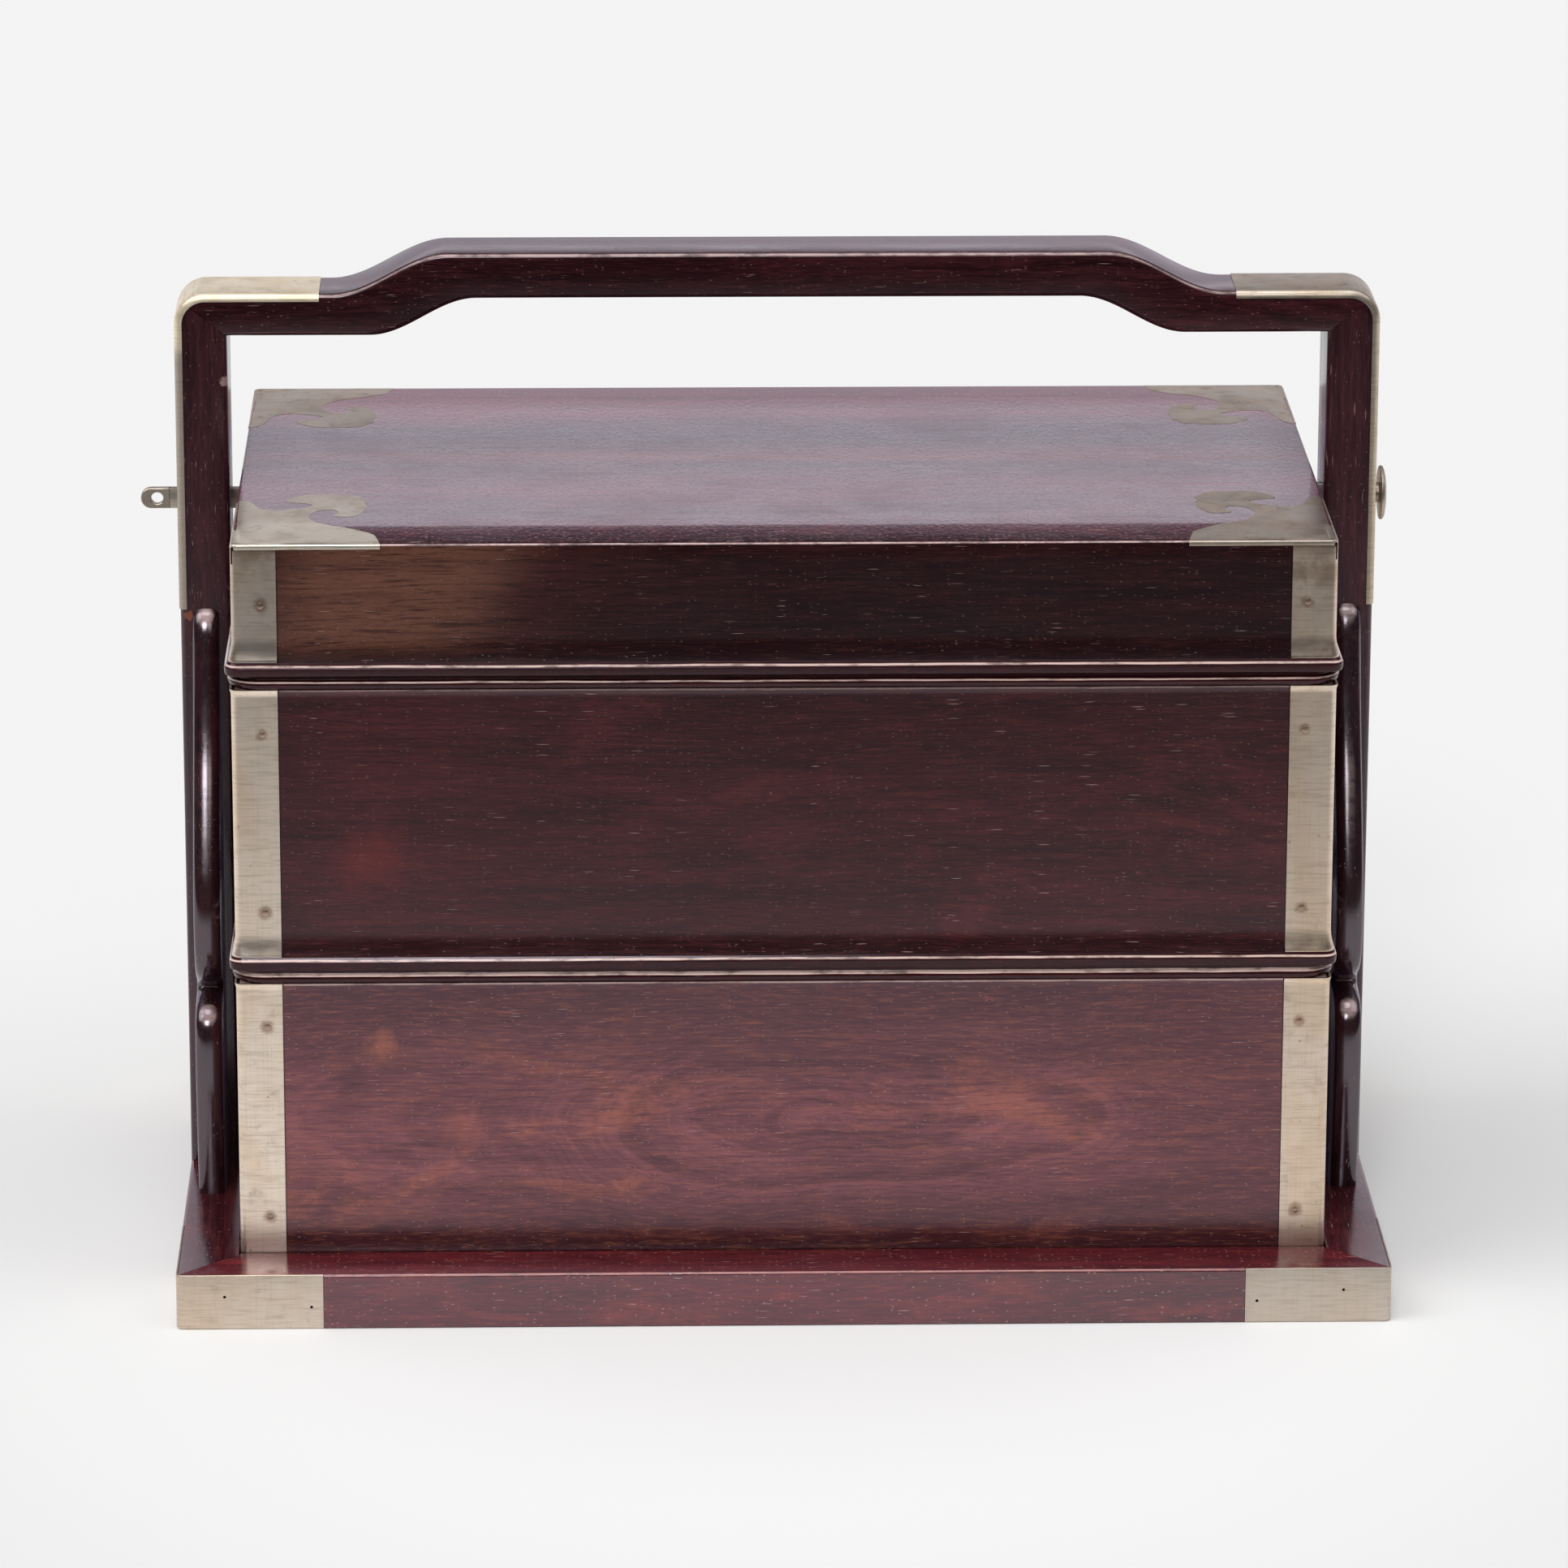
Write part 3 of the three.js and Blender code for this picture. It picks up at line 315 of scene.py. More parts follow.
def rail_section(seat):
    """Offset and height round a rail: outer face, top, and the recess whose edge lies back by seat."""
    outline = [(0, 0), (0, BASE_HEIGHT), (-seat, BASE_HEIGHT), (-seat, SEAT_LEVEL), (-RAIL_WIDTH, SEAT_LEVEL),
               (-RAIL_WIDTH, 0)]
    return rounded(outline, [0.8, 1.0, 0.5, 0.2, 0.3, 0.3])


base_rails = {}
for side in SIDES:
    outer, inner = (BASE_DEPTH, TRAY_DEPTH) if side in ("front", "back") else (BASE_LENGTH, TRAY_LENGTH)
    section = rail_section((outer - inner) / 2 - TRAY_PLAY)
    let_in = (BASE_PLATE_LEG + PLATE_PLAY, BASE_PLATE_THICKNESS)
    skin = mitred_side(side, BASE_LENGTH, BASE_DEPTH, section, let_in)
    base_rails[side] = piece(f"Base_rail_{side}", [skin], "frame", [f"base_{side}_rail"])
print("base rails:", len(base_rails))

# %% [markdown]
# ## Corner plates of the base
#
# Each corner of the base is wrapped in an angle of sheet brass whose lower edge is folded under the
# wood, and pins hammered flush hold it. A bent sheet with a Solidify modifier would look much the same. Here
# the upright part is a thin section carried round the bend, because each of its edges can then be
# softened by its own radius, and the fold is a flat angle.

# %% Base plates
FOLD_WIDTH, FOLD_INSET = 10, 0.3
PIN_REACH_SHARES, FRONT_PIN_LEVELS = (0.33, 0.92), (10.2, 6.9)
plate_section = rounded([(-BASE_PLATE_THICKNESS, 0.05), (0, 0.05), (0, BASE_HEIGHT),
                         (-BASE_PLATE_THICKNESS, BASE_HEIGHT)], [0.1, 0.5, 0.25, 0.25], 4)
fold_flat = rounded([(FOLD_INSET, FOLD_INSET), (BASE_PLATE_LEG, FOLD_INSET), (BASE_PLATE_LEG, FOLD_WIDTH),
                     (FOLD_WIDTH, FOLD_WIDTH), (FOLD_WIDTH, BASE_PLATE_LEG), (FOLD_INSET, BASE_PLATE_LEG)],
                    [BASE_PLATE_RADIUS, 0.1, 0.1, 0.1, 0.1, 0.1])
reach = np.array(PIN_REACH_SHARES) * BASE_PLATE_LEG
front_pins, end_pins = list(zip(reach, FRONT_PIN_LEVELS)), [(away, BASE_HEIGHT / 2) for away in reach]
base_plates = {}
for corner, signs in CORNERS.items():
    legs = (BASE_PLATE_LEG, BASE_PLATE_LEG)
    wall = angle_round(corner, BASE_LENGTH, BASE_DEPTH, BASE_PLATE_RADIUS, legs, plate_section)
    flat = np.array(signs) * (np.array([BASE_LENGTH, BASE_DEPTH]) / 2 - fold_flat)
    fold = carried([np.column_stack([flat, np.full(len(flat), z)]) for z in (0.0, BASE_PLATE_THICKNESS)])
    heads, _ = corner_pins(corner, BASE_LENGTH, BASE_DEPTH, -HEAD_RISE, front_pins, end_pins)
    base_plates[corner] = piece(f"Base_plate_{corner}", [wall, fold, *heads], "frame",
                                [f"base_corner_plate_{corner}"])
print("base plates:", len(base_plates))

# %% [markdown]
# ## Uprights and bridge handle
#
# The handle is one rail that rises in two quiet S curves to a raised bridge. A curve object with a
# bevel could carry its section, a rounded rectangle, but the distance between its upper and lower line
# changes along the way. So the path is a list of pairs, an outer and an inner point, and the section is
# stretched between them.

# %% Rail with two lines
GRIP_ARRIS, GRIP_HALF, UNDER_EASE = 1.7, 5.0, 3.2
SHOULDER_TOP_RUN, SHOULDER_UNDER_RUN = 46.0, 58.0
TOP_CURVE_RUN, UNDER_CURVE_RUN = 35.5, 32.0
HANDLE_CORNER = 9.0


def grip_rings(outer, inner):
    """Rounded rectangles square to the grip. A point of the section lies across by its y, and up from
    the inner point by its own height, or down from the outer point if it belongs to the upper half."""
    outer, inner = np.asarray(outer, float), np.asarray(inner, float)
    span = np.linalg.norm(outer - inner, axis=1)
    way = (outer - inner) / span[:, None]
    across, height = box_section(GRIP_DEPTH / 2, GRIP_HALF, GRIP_ARRIS).T
    up = np.where(height > 0, span[:, None] - GRIP_HALF + height, GRIP_HALF + height)
    place = inner[:, None] + way[:, None] * up[..., None]
    return np.stack([place[..., 0], np.broadcast_to(across, up.shape), place[..., 1]], -1)


def on_corner(angle):
    """Points on the round outer corner of the frame, as x and z."""
    centre = np.array([UPRIGHT_OUTER - HANDLE_CORNER, SHOULDER_TOP - HANDLE_CORNER])
    return centre + HANDLE_CORNER * np.stack([np.cos(angle), np.sin(angle)], -1)


# The two sides of the mitre stand a glue gap apart, and the round corner runs on past it.
quarter = np.linspace(0, 1, 9)
parting = np.array([-GLUE_GAP, GLUE_GAP]) / 2 * (1 - quarter)[:, None]
under_mitre = np.column_stack([-UNDER_EASE * quarter - GLUE_GAP / 2, 0 * quarter])
mitre = np.array([[UPRIGHT_INNER, SHOULDER_UNDER]])
share = np.linspace(0, 1, 41)
rise = (1 - np.cos(np.pi * share)) / 2
top_curve = np.column_stack([UPRIGHT_OUTER - SHOULDER_TOP_RUN - TOP_CURVE_RUN * share,
                             SHOULDER_TOP + (BRIDGE_TOP - SHOULDER_TOP) * rise])
under_curve = np.column_stack([UPRIGHT_OUTER - SHOULDER_UNDER_RUN - UNDER_CURVE_RUN * share,
                               SHOULDER_UNDER + (BRIDGE_UNDER - SHOULDER_UNDER) * rise])
right_outer = np.concatenate([on_corner(np.pi / 4 + np.pi / 4 * quarter) + parting, top_curve])
right_inner = np.concatenate([mitre + under_mitre, under_curve])
flip = np.array([-1, 1])
outer_line = np.concatenate([right_outer, (right_outer * flip)[::-1]])
inner_line = np.concatenate([right_inner, (right_inner * flip)[::-1]])
handle = piece("Handle_rail", [carried(grip_rings(outer_line, inner_line))], "frame",
               ["handle_rail"])
print("handle spans", 2 * UPRIGHT_OUTER, "mm")

# %% [markdown]
# ### The uprights
#
# Each upright is the same section, carried down from the mitre to the base. The left one could be made
# by a Mirror modifier, but its name, its body and its own node ask for a separate piece, so a loop makes
# both, and both get the slot of the locking bar.

# %% Uprights
POST_FOOT = BASE_HEIGHT - 1
post_outer = np.concatenate([on_corner(np.pi / 4 * (1 - quarter)) - parting, [[UPRIGHT_OUTER, POST_FOOT]]])
post_inner = np.concatenate([mitre + under_mitre[:, ::-1], [[UPRIGHT_INNER, POST_FOOT]]])
uprights = {}
for name, sign in HANDS.items():
    rings = grip_rings(post_outer * [sign, 1], post_inner * [sign, 1])
    post = piece(f"Upright_{name}", [carried(rings)], "frame", [f"{name}_upright"])
    uprights[name] = with_slot(post)
print("uprights:", len(uprights))

# %% [markdown]
# ## Straps of the handle
#
# A strip of brass runs over each shoulder, round the corner and down the upright. It is bent over both
# arrises of the wood, so its section is a shallow channel: the outline of the wood's face, moved out
# for the outside and in for the inside. A Solidify modifier on a copy of the wood's skin could do it too,
# but this way the two lips and the square ends come out at their measures.

# %% Handle straps
STRAP_END, STRAP_FOOT, STRAP_PROUD = 137.0, 192.5, 0.4
STRAP_SHEET, STRAP_LIP = 0.8, 2.0


def channel_contour(proud):
    """Across and up round the face of the wood, moved out by proud, from lip to lip: the round-cornered
    outline of a deeper block, cut off at the lips."""
    far, deep = GRIP_DEPTH / 2 + proud, -2 * STRAP_LIP
    block = rounded([(-far, deep), (far, deep), (far, proud), (-far, proud)],
                    [0, 0, GRIP_ARRIS + proud, GRIP_ARRIS + proud])
    wrap = block[block[:, 1] > -STRAP_LIP]
    return np.concatenate([[[far, -STRAP_LIP]], wrap, [[-far, -STRAP_LIP]]])


channel = np.concatenate([channel_contour(STRAP_PROUD), channel_contour(STRAP_PROUD - STRAP_SHEET)[::-1]])
turn = np.pi / 2 * (1 - np.linspace(0, 1, 17))
strap_line = np.concatenate([[[STRAP_END, SHOULDER_TOP]], on_corner(turn), [[UPRIGHT_OUTER, STRAP_FOOT]]])
strap_way = np.concatenate([[[0, 1]], np.stack([np.cos(turn), np.sin(turn)], -1), [[1, 0]]])
place = strap_line[:, None] + strap_way[:, None] * channel[None, :, 1:]
across = np.broadcast_to(channel[:, 0], place.shape[:2])
handle_straps = {}
for name, sign in HANDS.items():
    rings = np.stack([sign * place[..., 0], across, place[..., 1]], -1)
    strap = piece(f"Handle_strap_{name}", [carried(rings)], "frame", [f"{name}_handle_strap"])
    handle_straps[name] = with_slot(strap)
print("handle straps:", len(handle_straps))

# %% [markdown]
# ## Standing brackets
#
# Before and behind each upright stands a small bracket with a wavy edge, sawn from a board and rounded
# over from face to face. A Bevel modifier would leave two quarter circles and a flat between them, and the
# real edge is a single round. So a smooth curve is drawn through the few points of the outline, and the
# skin is built from copies of it: each is moved in a little and across a little, along half of a slightly
# squared ellipse.

# %% Brackets
BRACKET_HEIGHT, BRACKET_REACH, BRACKET_THICKNESS, BRACKET_CROWN = 176.0, 36.5, 8.0, 2.4
BRACKET_ROOT, BRACKET_FOOT, SQUARED = GRIP_DEPTH / 2 - 4, BASE_HEIGHT - 3, 0.85
UPRIGHT_CENTRE = (UPRIGHT_INNER + UPRIGHT_OUTER) / 2

bracket_shares = np.array([
    [0, .87], [.03, .885], [.1, .94], [.19, .99], [.26, 1], [.31, .965], [.338, .86], [.348, .7],
    [.3525, .53], [.36, .55], [.373, .66], [.395, .78], [.43, .87], [.48, .905], [.54, .875], [.61, .76],
    [.69, .6], [.77, .43], [.85, .29], [.92, .195], [.965, .135], [.99, .07], [1, 0]])


def curve_through(points, steps):
    """A smooth curve through points: between two of them, a cubic whose slope at each point is half the
    way from the point before it to the one after it."""
    points = np.asarray(points, float)
    ends = np.concatenate([2 * points[:1] - points[1:2], points, 2 * points[-1:] - points[-2:-1]])
    before, start, stop, after = ends[:-3], ends[1:-2], ends[2:-1], ends[3:]
    share = np.linspace(0, 1, steps, endpoint=False)[None, :, None]
    slope_start, slope_stop = (stop - before)[:, None] / 2, (after - start)[:, None] / 2
    start, stop = start[:, None], stop[:, None]
    curve = (start * (2 * share**3 - 3 * share**2 + 1) + slope_start * (share**3 - 2 * share**2 + share)
             + stop * (3 * share**2 - 2 * share**3) + slope_stop * (share**3 - share**2))
    return np.concatenate([curve.reshape(-1, points.shape[1]), points[-1:]])


def moved_in(outline, distance):
    """A closed outline moved inward: each point goes along the mean of its two edges' normals."""
    edge = np.roll(outline, -1, 0) - outline
    normal = np.stack([edge[:, 1], -edge[:, 0]], -1)
    normal /= np.linalg.norm(normal, axis=1, keepdims=True)
    mean = normal + np.roll(normal, 1, 0)
    mean /= np.maximum(np.linalg.norm(mean, axis=1, keepdims=True), 1e-9)
    area = (outline[:, 0] * np.roll(outline[:, 1], -1) - outline[:, 1] * np.roll(outline[:, 0], -1)).sum()
    return outline - np.sign(area) * mean * distance


wave = curve_through(np.column_stack([GRIP_DEPTH / 2 + BRACKET_REACH * bracket_shares[:, 1],
                                      BASE_HEIGHT + BRACKET_HEIGHT * bracket_shares[:, 0]]), 5)
bracket_outline = np.concatenate([[[BRACKET_ROOT, BRACKET_FOOT], [wave[0, 0], BRACKET_FOOT]], wave,
                                  [[BRACKET_ROOT, BASE_HEIGHT + BRACKET_HEIGHT]]])
turns = np.linspace(-np.pi / 2, np.pi / 2, 15)
insets = BRACKET_CROWN * (1 - np.cos(turns) ** SQUARED)
reaches = BRACKET_THICKNESS / 2 * np.sign(turns) * np.abs(np.sin(turns)) ** SQUARED
brackets = {}
for corner, (sign_x, sign_y) in CORNERS.items():
    rings = []
    for inset, reach in zip(insets, reaches):
        outline = moved_in(bracket_outline, inset)
        rings.append(np.column_stack([np.full(len(outline), sign_x * UPRIGHT_CENTRE + reach),
                                      sign_y * outline[:, 0], outline[:, 1]]))
    brackets[corner] = piece(f"Bracket_{corner}", [carried(rings)], "frame",
                             [f"spandrel_{corner}"], crisp=50)
print("brackets:", len(brackets))

# %% [markdown]
# ## Walls of trays and lid
#
# The boards of a tier are mitred and glued. Just above the foot of the lid and of the upper tray they
# sweep outward to meet a bead, and just under a rim they do so a little. A bump in the finish could only
# shade such a sweep. Here it belongs to the section, so it comes to the corners by itself, and the metal
# on the corners follows the same function.

# %% Sections of the walls
LID_SET_BACK = 0.4
FOOT_BEAD, RIM_BEAD, LID_BOARD = 4.1, 3.9, 5.8
FOOT_SWEEP, FOOT_SWEEP_HEIGHT, RIM_SWEEP, RIM_SWEEP_HEIGHT = 1.15, 6.8, 0.6, 2.2
FINE_FOOT, PLAIN_FROM, PLAIN_TO, FINE_TOP = 8, 12, 6, 2.4


def sweep_out(height, foot, top, back):
    """How far the wall stands out at a height. Above a foot bead it falls off as the power 1.9 of the
    height that is left of the sweep, and under a rim it grows as the square."""
    height = np.asarray(height, float)
    out = np.full(height.shape, -back)
    if foot is not None:
        out += FOOT_SWEEP * np.clip(1 - (height - foot) / FOOT_SWEEP_HEIGHT, 0, 1) ** 1.9
    if top is not None:
        out += RIM_SWEEP * np.clip(1 - (top - height) / RIM_SWEEP_HEIGHT, 0, 1) ** 2
    return out


def wall_section(low, high, foot, top, floor, back):
    """Offset and height round a board: the swept outer face, drawn finely near its foot and its top,
    then the inner face with its groove."""
    heights = np.concatenate([low + np.linspace(0, FINE_FOOT, 14),
                              np.linspace(low + PLAIN_FROM, high - PLAIN_TO, 5),
                              high - np.linspace(FINE_TOP, 0, 7)])
    outer = np.column_stack([sweep_out(heights, foot, top, back), heights])
    inner = [(-WALL, high)]
    if floor is not None:
        under, over = floor - FLOOR_PLAY, floor + FLOOR_THICKNESS + FLOOR_PLAY
        groove = -WALL + FLOOR_GROOVE
        inner += [(-WALL, over), (groove, over), (groove, under), (-WALL, under)]
    inner += [(-WALL, low)]
    return np.concatenate([outer, inner])


TIERS = {}
for tier, low, high, beaded, back in (
        ("lower_tray", LOWER_FOOT, LOWER_TOP - RIM_BEAD, ("top",), 0.0),
        ("upper_tray", UPPER_FOOT + FOOT_BEAD, UPPER_TOP - RIM_BEAD, ("foot", "top"), 0.0),
        ("lid", LID_FOOT + FOOT_BEAD, LID_EDGE - LID_BOARD, ("foot",), LID_SET_BACK)):
    TIERS[tier] = dict(low=low, high=high, foot=low if "foot" in beaded else None,
                       top=high if "top" in beaded else None, back=back)
print("tiers:", {tier: round(size["high"] - size["low"], 1) for tier, size in TIERS.items()})

# %% [markdown]
# ### The boards
#
# Each tier has four boards with a groove inside for the bottom. One box with a hollow could show the
# outside, but the mitres and the grain ask for four pieces. They share the section of their tier, and near
# its corners the wood lies back for the straps. The lid's end boards also have the slot of the bar.

# %% Boards
STRAP_LEG, STRAP_METAL, STRAP_RADIUS, STRAP_SEAM = 13.6, 0.7, 2.0, 0.4
LET_IN, LID_SLOT_DEPTH = 1.0, 5.4
boards = {}
for tier, size in TIERS.items():
    floor = None if tier == "lid" else size["low"] + FLOOR_RISE
    section = wall_section(floor=floor, **size)
    for side in SIDES:
        skin = mitred_side(side, TRAY_LENGTH, TRAY_DEPTH, section, (STRAP_LEG + STRAP_SEAM, LET_IN))
        boards[tier, side] = piece(f"{tier}_board_{side}".capitalize(), [skin], tier,
                                   [f"{tier}_{side}_board"])
for side in HANDS:
    with_slot(boards["lid", side], LID_SLOT_DEPTH)
print("boards:", len(boards))

# %% [markdown]
# ## Beads
#
# Where two tiers meet, each has a bead: a rounded moulding that throws a line of light along the
# joint. The foot bead has a sloping shoulder on top, and the rim bead a round one, with a lip inside the
# rim that the next tier sits over. A round profile on a curve would be quicker, but couldn't have the
# quirk above the bead. Each is one section carried once round the tier, which leaves no seam at a corner.

# %% Foot beads and rims
LIP, LIP_HEIGHT, LIP_PLAY = 3.4, 4.0, 0.3
FOOT_OUT, NOSE_OUT, NOSE_HEIGHT, SHOULDER_OUT = 1.75, 1.95, 2.5, 1.25
RIM_BEAD_LOW, QUIRK_OUT = 3.8, 0.1
RIM_BEAD_ROUND = [(0.4, RIM_BEAD_LOW), (1.0, 3.2), (1.3, 2.3), (1.05, 1.35), (QUIRK_OUT, 0.8)]
RIM_CORNER = STRAP_RADIUS + 6


def foot_bead(foot, back=0.0):
    """Offset and height round a foot bead: shoulder out to the nose, and down to the joint."""
    inner = -WALL + LIP + LIP_PLAY
    outline = [(inner, foot), (FOOT_OUT, foot), (NOSE_OUT, foot + NOSE_HEIGHT),
               (SHOULDER_OUT - back, foot + FOOT_BEAD), (inner, foot + FOOT_BEAD)]
    return rounded(outline, [0, 0.9, 0.5, 0.1, 0])


def rim_bead(top):
    """Offset and height round a rim: the round bead outside, and the lip inside."""
    lip_outer = -WALL + LIP
    bead = [(-WALL, top - RIM_BEAD_LOW)] + [(out, top - down) for out, down in RIM_BEAD_ROUND]
    lip = [(QUIRK_OUT, top), (lip_outer, top), (lip_outer, top + LIP_HEIGHT), (-WALL, top + LIP_HEIGHT)]
    return rounded(bead + lip, [0, 0.1, 0.4, 0.6, 0.4, 0.1, 0, 0, 0.6, 0.3])


beads = {}
for tier, moulding, section, radius in (
        ("lid", "foot_bead", foot_bead(LID_FOOT, LID_SET_BACK), STRAP_RADIUS),
        ("upper_tray", "foot_bead", foot_bead(UPPER_FOOT), STRAP_RADIUS),
        ("upper_tray", "rim", rim_bead(UPPER_TOP), RIM_CORNER),
        ("lower_tray", "rim", rim_bead(LOWER_TOP), RIM_CORNER)):
    beads[tier, moulding] = piece(f"{tier}_{moulding}_skin".capitalize(),
                                  [ring_round(TRAY_LENGTH, TRAY_DEPTH, radius, section)],
                                  tier, [f"{tier}_{moulding}"])
print("beads:", len(beads))

# %% [markdown]
# ## Straps on the corners
#
# Twelve angles of thin brass hold the corners of the tiers. They are let into the wood, and they were
# hammered down over the sweep of the wall. A Shrinkwrap modifier could press a strip onto the boards, but
# the wall's own function is at hand, so each is a strip with that offset, carried round the bend. Their
# pins sit in two places on a tray and one on the lid.

# %% Corner straps
METAL_PROUD, STRAP_SHORTER, STRAP_EDGE_DROP, LID_STRAP_TOP = 0.06, 0.08, 0.1, LID_EDGE - 1.4
PIN_BURIED, PIN_REACH_SHARE, PIN_INSET, PIN_RADIUS, PIN_RISE = 0.02, 0.66, 13.5, 0.95, 0.14


def strap_section(low, high, foot, top, back):
    """Offset and height round a strap: the wall's sweep outside, with its ends a tenth of a millimetre
    lower, and the sheet's thickness behind it."""
    heights = np.concatenate([[low + STRAP_SHORTER], low + np.linspace(0.3, FINE_FOOT, 13),
                              np.linspace(low + PLAIN_FROM, high - PLAIN_TO, 5),
                              high - np.array([FINE_TOP, 2.0, 1.6, 1.2, 0.8, 0.4, STRAP_SHORTER])])
    outside = sweep_out(heights, foot, top, back) + METAL_PROUD
    behind = np.column_stack([outside - STRAP_METAL, heights])[::-1]
    outside[[0, -1]] -= STRAP_EDGE_DROP
    return np.concatenate([np.column_stack([outside, heights]), behind])


straps, strap_pins = {}, []
for tier, size in TIERS.items():
    low, high = size["low"], LID_STRAP_TOP if tier == "lid" else size["high"]
    section = strap_section(**{**size, "high": high})
    levels = [(low + high) / 2] if tier == "lid" else [low + PIN_INSET, high - PIN_INSET]
    pins = [(PIN_REACH_SHARE * STRAP_LEG, level) for level in levels]
    face = METAL_PROUD - size["back"] - PIN_BURIED
    for corner in CORNERS:
        sheet = angle_round(corner, TRAY_LENGTH, TRAY_DEPTH, STRAP_RADIUS, (STRAP_LEG, STRAP_LEG), section)
        heads, places = corner_pins(corner, TRAY_LENGTH, TRAY_DEPTH, face, pins, pins, PIN_RADIUS, PIN_RISE)
        straps[tier, corner] = piece(f"{tier}_strap_skin_{corner}".capitalize(), [sheet, *heads],
                                     tier, [f"{tier}_strap_{corner}"])
    strap_pins += [(abs(x), abs(y), z) for x, y, z in places]
print("straps:", len(straps), "pins on one corner:", len(strap_pins))

# %% [markdown]
# ## Top of the lid
#
# The lid's top is a single board, planed flat in the middle and eased down toward its edges. A bevelled
# block has one radius everywhere, and this fall is wide and slight. So it is a height over a grid of
# points: flat, less a power of how far a point lies inside a margin along each edge. The rim of the grid
# is then rounded over and carried down the edge of the board.

# %% The eased board
CROWN, EASE, TOP_ARRIS, CORNER_SHARE = 0.9, 18.0, 0.9, 0.72
LID_HALF = np.array([TRAY_LENGTH, TRAY_DEPTH]) / 2 - LID_SET_BACK


def top_height(x, y):
    """Height of the lid at a point: the edge level and the crown, less the crown times how far across
    the margin the point lies, squared for the nearer end and raised to 1.15 for the nearer long edge."""
    margin_x = np.clip(1 - (LID_HALF[0] - np.abs(x)) / EASE, 0, 1)
    margin_y = np.clip(1 - (LID_HALF[1] - np.abs(y)) / EASE, 0, 1)
    return LID_EDGE + CROWN - CROWN * np.clip(margin_x**2 + margin_y**1.15, 0, 1.15)


def eased_positions(half, radius):
    """Places across the lid: closer together in the margins, and symmetrical."""
    inner = np.linspace(0, half - EASE, 6)
    margin = half - EASE + np.linspace(0, EASE - radius, 12)[1:]
    positive = np.concatenate([inner, margin])
    return np.concatenate([-positive[:0:-1], positive])


across_x, across_y = (eased_positions(half, TOP_ARRIS) for half in LID_HALF)
grid_x, grid_y = np.meshgrid(across_x, across_y, indexing="ij")
grid = np.stack([grid_x, grid_y, top_height(grid_x, grid_y)], -1)
edge_loop = np.concatenate([grid[:-1, 0], grid[-1, :-1], grid[:0:-1, -1], grid[0, :0:-1]])
edge_counts = [len(across_x) - 1, len(across_y) - 1] * 2
# Each side goes down square to itself, and the four corner points go out to both sides.
outward = np.repeat([[0.0, -1, 0], [1, 0, 0], [0, 1, 0], [-1, 0, 0]], edge_counts, axis=0)
first_rows = np.cumsum([0] + edge_counts[:3])
outward[first_rows] = np.array([[-1, -1, 0], [1, -1, 0], [1, 1, 0], [-1, 1, 0]]) * CORNER_SHARE
turn = np.linspace(0, np.pi / 2, 6)[1:, None, None]
skirt = edge_loop + TOP_ARRIS * (np.sin(turn) * outward - (1 - np.cos(turn)) * np.array([0, 0, 1.0]))
bottom = skirt[-1].copy()
bottom[:, 2] = LID_EDGE - LID_BOARD
edge_points, edge_faces = carried(np.concatenate([edge_loop[None], skirt, bottom[None]]))
index = np.arange(grid_x.size).reshape(grid_x.shape) + len(edge_points)
top_faces = np.stack([index[:-1, :-1], index[1:, :-1], index[1:, 1:], index[:-1, 1:]], -1).reshape(-1, 4)
lid_points = np.concatenate([edge_points, grid.reshape(-1, 3)])
lid_faces = edge_faces[:-2] + top_faces.tolist() + [edge_faces[-1]]
lid_top = piece("Lid_top_board", [(lid_points, lid_faces)], "lid", ["lid_top"], crisp=40)
print("lid top crown:", CROWN, "mm over", EASE, "mm")

# %% [markdown]
# ## Cloud-shaped mounts
#
# Each corner of the lid carries a sheet of brass sawn to the outline of a curling cloud, let into the
# board and folded down over its edges. Such an outline has no grid of its own, so it is filled with
# triangles between the curve and a field of inner points, laid onto the height of the lid, and given
# the thickness of the sheet.

# %% Outline of a mount and its triangles
MOUNT_FRONT, MOUNT_SIDE, MOUNT_SHEET, MOUNT_FOLD = 43.5, 50.5, 0.5, 1.5
MOUNT_INSET, MOUNT_BEND = 0.4, 2.0
SEED_START, SEED_SPACING, SEED_ENDS = 1.5, 1.9, (44, 55)

mount_shares = np.array([
    [0, .97], [.045, 1], [.09, .965], [.12, .9], [.165, .78], [.22, .735], [.3, .72], [.41, .75], [.49, .785],
    [.525, .825], [.49, .865], [.43, .885], [.335, .92], [.37, .985], [.45, 1.055], [.58, 1.08], [.7, 1.07],
    [.81, 1.045], [.845, .985], [.885, .95], [.87, .875], [.895, .8], [.873, .69], [.825, .585], [.75, .56],
    [.665, .59], [.705, .65], [.667, .725], [.575, .71], [.53, .65], [.505, .56], [.54, .465], [.62, .39],
    [.7, .345], [.78, .31], [.87, .25], [.95, .185], [.98, .095], [1, 0]])
mount_curve = np.maximum(curve_through(mount_shares * [MOUNT_FRONT, MOUNT_SIDE], 4), MOUNT_INSET)
bend = np.pi / 2 * np.linspace(0, 1, 7)
mount_bend = MOUNT_BEND - (MOUNT_BEND - MOUNT_INSET) * np.stack([np.sin(bend), np.cos(bend)], -1)
mount_outline = np.concatenate([mount_curve, mount_bend])
spread = [np.arange(SEED_START, end, SEED_SPACING) for end in SEED_ENDS]
spread = np.stack(np.meshgrid(*spread, indexing="ij"), -1)
seeds = np.concatenate([mount_outline, spread.reshape(-1, 2)])
flat, _, triangles, *_ = delaunay_2d_cdt([Vector(point) for point in seeds], [],
                                         [list(range(len(mount_outline)))], 1, 1e-5)
used, triangles = np.unique(np.array(triangles), return_inverse=True)
